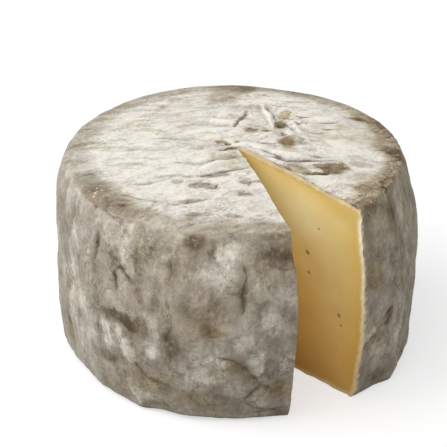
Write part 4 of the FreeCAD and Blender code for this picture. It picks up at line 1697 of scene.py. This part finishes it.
def painted_shade_share(tree, noises, lines):
    """How much of the rind's colour the painted shade of creases and hollows covers."""
    hollow = stepped(tree, value_of(tree, "hollow"), 0.15, 0.6, 0.0, 0.3)
    shade_amount = total(tree, product(tree, value_of(tree, "groove"), GROOVE_PAINTED_SHADE), hollow, lines)
    grainy = stepped(tree, noises.grain, 0.3, 0.65, 0.6, 1.1)
    return product(tree, math_node(tree, "MULTIPLY", shade_amount, grainy, clamp=True), ALL_PAINTED_SHADE)


print("the dirt is ready")

# %% [markdown]
# ## The rind's fine relief
#
# Folds and dents are real shape, but the grain of the felt is finer than the net of points. A
# bump node shades the skin as if it had that grain. It takes the same noises that colour the
# rind, so that what looks like a grain also catches the light as one. The top is smoother.


# %% Raise the grain of the rind
BUMP_SIDE, BUMP_TOP_LESS = 0.6, 0.25
BUMP_HEIGHT = 0.6 * MM


def rind_bump(tree, noises, lines):
    """The fine relief of the felt, with the crease lines cut in."""
    height = total(
        tree,
        noises.grain,
        swing(tree, noises.side_blotch, 1.2),
        product(tree, noises.fine, 0.4),
        product(tree, lines, -0.7),
    )
    flatter = product(tree, noises.on_the_top, BUMP_TOP_LESS)
    strength = math_node(tree, "SUBTRACT", BUMP_SIDE, flatter)
    sockets = {"Height": height, "Strength": strength, "Distance": BUMP_HEIGHT}
    return add_node(tree, "ShaderNodeBump", sockets).outputs[0]


print(f"the grain is up to {BUMP_HEIGHT / MM:.1f} mm high")

# %% [markdown]
# ## The rind's finish
#
# Now the parts come together: the colour, the painted shade of creases and hollows over it, and
# the cream crumbs over both. Real felt is dull, so the coat is rough and hardly glossy, and a
# little sheen gives it the soft edge of fur.


# %% Mix the rind
CRUMB = colour(226, 212, 184)


def rind_finish():
    """The grey felt of moulds with its bloom, its stains and its grain."""
    rind = bpy.data.materials.new("rind")
    tree = empty_tree(rind)
    noises = rind_noises(tree)
    edges = swings(tree, noises, EDGE_SWINGS)
    in_blot = stepped(tree, total(tree, value_of(tree, "blot_cover"), edges), 0.18, 0.52)
    lines = crease_lines(tree, noises)
    felt = rind_colour(tree, noises, in_blot)
    # painted shade in the creases and hollows over the colour
    felt = blend(tree, painted_shade_share(tree, noises, lines), felt, CREASE_SHADE_COLOUR)
    coarse = stepped(tree, noises.grain, 0.56, 0.64, 0.0, 0.7)
    flecks = product(tree, value_of(tree, "crumbs"), coarse)
    felt = blend(tree, math_node(tree, "MAXIMUM", flecks, value_of(tree, "torn")), felt, CRUMB)
    coat = add_node(
        tree,
        "ShaderNodeBsdfPrincipled",
        {
            "Base Color": felt,
            "Roughness": stepped(tree, noises.grain, 0.3, 0.7, 0.75, 0.95),
            "Specular IOR Level": 0.25,
            "Sheen Weight": 0.1,
            "Sheen Roughness": 0.5,
            "Normal": rind_bump(tree, noises, lines),
        },
    )
    add_node(tree, "ShaderNodeOutputMaterial", {"Surface": coat.outputs[0]})
    return rind


wheel_mesh.materials.append(rind_finish())
print(f"the rind is mixed from {len(wheel_mesh.materials[0].node_tree.nodes)} nodes")

# %% [markdown]
# ## The paste's colours
#
# Goat curd is ivory in the middle and dries to gold towards the rind. The last millimetre or two
# is a cream crust, so a cut shows a pale line all round. All of this follows from how deep a
# point lies under the rind. The tints come on top of it. Some are the paste's own unevenness, as
# a cheese dries and ripens unevenly; the gold and the darkening towards the foot of the notch are
# painted shade and warm bounced light.

# %% Choose the paste's colours
# the depth under the rind in millimetres, and the colour there
PASTE_BANDS = [
    (0.0, colour(243, 234, 210)),
    (0.8, colour(253, 247, 228)),
    (1.4, colour(248, 236, 200)),
    (2.3, colour(228, 202, 140)),
    (3.4, colour(231, 200, 122)),
    (6.0, colour(237, 209, 136)),
    (11.0, colour(244, 222, 160)),
    (20.0, colour(250, 232, 178)),
    (40.0, colour(254, 233, 172)),
]
SMEAR = colour(220, 190, 124)
# the painted shade inside the eyes
EYE_PAINTED_SHADE = colour(180, 138, 74)
# along the top the crust is tanned
TOP_CRUST_TINT = (0.86, 0.75, 0.53, 1)
# painted shade and warm bounced light: golden towards the foot of the notch, darker at its very
# bottom
NOTCH_SHADE_AND_BOUNCE_TINT = (1.0, 0.84, 0.53, 1)
NOTCH_FOOT_SHADE_TINT = (0.91, 0.87, 0.86, 1)
# it is golden again at the shoulder, where the rind dried it from two sides
SHOULDER_TINT = (0.87, 0.85, 0.74, 1)
# between the tip and the shoulder it stays moist and pale
MOIST_TINT = (1.0, 1.06, 1.2, 1)
print(f"{len(PASTE_BANDS)} bands from the crust to {PASTE_BANDS[-1][0]:.0f} mm deep")

# %% [markdown]
# ## The paste's bands and tints
#
# The bands wander a little by noise, so that no line is drawn with a ruler. The tints are glazed
# over them, each only where all of its shares say so: how high the place is, how far back and
# how deep under the rind. Last come the eyes, which are painted darker inside, as shade.


# %% Glaze the paste
# how deep a point lies in an eye before it has the eye's full shade, in millimetres
EYE_DEPTH = 0.5


def glaze(tree, paste, tint, *shares):
    """Multiplies the paste's colour by a tint, as far as all the shares let it."""
    return blend(tree, product(tree, *shares), paste, tint, "MULTIPLY")


def paste_colour(tree, place):
    """The bands from the crust inwards, with their tints and the painted shade of notch and eyes.
    """
    wander = stepped(tree, mottle(tree, place, 0.0026, 3.0, 0.6), 0.3, 0.7, -0.45, 0.45)
    depth = total(tree, value_of(tree, "depth"), wander)
    paste = ramp_colours(tree, math_node(tree, "MAXIMUM", depth, 0.0), PASTE_BANDS)
    smear = stepped(tree, mottle(tree, place, 0.02, 2.0, 0.5), 0.35, 0.7, 0.0, 0.22)
    paste = blend(tree, smear, paste, SMEAR)
    apart = add_node(tree, "ShaderNodeSeparateXYZ", {0: place}).outputs
    depthwise, height = apart["Y"], apart["Z"]
    top_level = (foot_corner.z + tall * MM) * 0.9
    crust = stepped(tree, height, 0.084, 0.091), stepped(tree, depth, 1.6, 3.4, 1.0, 0.0)
    paste = glaze(tree, paste, TOP_CRUST_TINT, *crust)
    # painted shade and warm bounced light, deepening towards the foot of the notch
    paste = glaze(tree, paste, NOTCH_SHADE_AND_BOUNCE_TINT, stepped(tree, height, 0.0, top_level, 1.0, 0.0))
    paste = glaze(tree, paste, NOTCH_FOOT_SHADE_TINT, stepped(tree, height, 0.0, 0.03, 1.0, 0.0))
    shoulder = stepped(tree, height, 0.055, 0.078), stepped(tree, depthwise, -0.046, -0.066)
    paste = glaze(tree, paste, SHOULDER_TINT, *shoulder, stepped(tree, depth, 2.0, 5.0))
    moist = stepped(tree, height, 0.058, 0.074), stepped(tree, depthwise, -0.058, -0.04)
    paste = glaze(tree, paste, MOIST_TINT, *moist)
    # the eyes are painted darker inside, as shade
    in_eye = stepped(tree, value_of(tree, "eye"), 0.0, EYE_DEPTH, 0.0, 0.75)
    return blend(tree, in_eye, paste, EYE_PAINTED_SHADE)


print(f"an eye has its full shade {EYE_DEPTH} mm deep")

# %% [markdown]
# ## The paste's finish
#
# The paste is moist, so it is smoother than the rind, and the knife left a fine grain in it. Light
# enters it a little way before it comes back out. That soft glow is what makes it look edible.


# %% Mix the paste
def paste_finish():
    """Ivory paste that turns to gold, ochre and crust towards the rind."""
    paste = bpy.data.materials.new("paste")
    tree = empty_tree(paste)
    place = add_node(tree, "ShaderNodeTexCoord").outputs["Object"]
    fine = mottle(tree, place, 0.0012, 2.0, 0.5)
    relief = {"Height": fine, "Strength": 0.25, "Distance": 0.0002}
    coat = add_node(
        tree,
        "ShaderNodeBsdfPrincipled",
        {
            "Base Color": paste_colour(tree, place),
            "Roughness": stepped(tree, fine, 0.3, 0.7, 0.45, 0.58),
            "Specular IOR Level": 0.3,
            "Subsurface Weight": 0.25,
            "Subsurface Radius": (1.0, 0.6, 0.25),
            "Subsurface Scale": 0.003,
            "Normal": add_node(tree, "ShaderNodeBump", relief).outputs[0],
        },
    )
    add_node(tree, "ShaderNodeOutputMaterial", {"Surface": coat.outputs[0]})
    return paste


wheel_mesh.materials.append(paste_finish())
print(f"the paste is mixed from {len(wheel_mesh.materials[1].node_tree.nodes)} nodes")

# %% [markdown]
# ## The finished wheel
#
# The mesh gets its two finishes, the paste on the cuts and the rind on all the rest. The
# object takes the place of the pressed wheel and rides on the same body.

# %% Set the finished wheel on the table
wheel_mesh.polygons.foreach_set("material_index", is_cut.astype(np.int32))
wheel_mesh.update()
goat_tomme = bpy.data.objects.new("goat_tomme", wheel_mesh)
bpy.context.scene.collection.objects.link(goat_tomme)
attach(goat_tomme, "root")
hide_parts("tomme_wheel")
print("the wheel is finished in", [m.name for m in wheel_mesh.materials])

# %% [markdown]
# ## The two sizes
#
# The finished cheese must be as large as the pressed one. Both boxes are written down side by
# side before the scene is closed.

# %% Write both sizes and finish
finished_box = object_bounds()
boxes = {
    "cad": [list(corner) for corner in pressed_box],
    "visual": [list(corner) for corner in finished_box],
}
for name, (low, high) in boxes.items():
    print(name, [f"{(b - a) / MM:.2f}" for a, b in zip(low, high)])
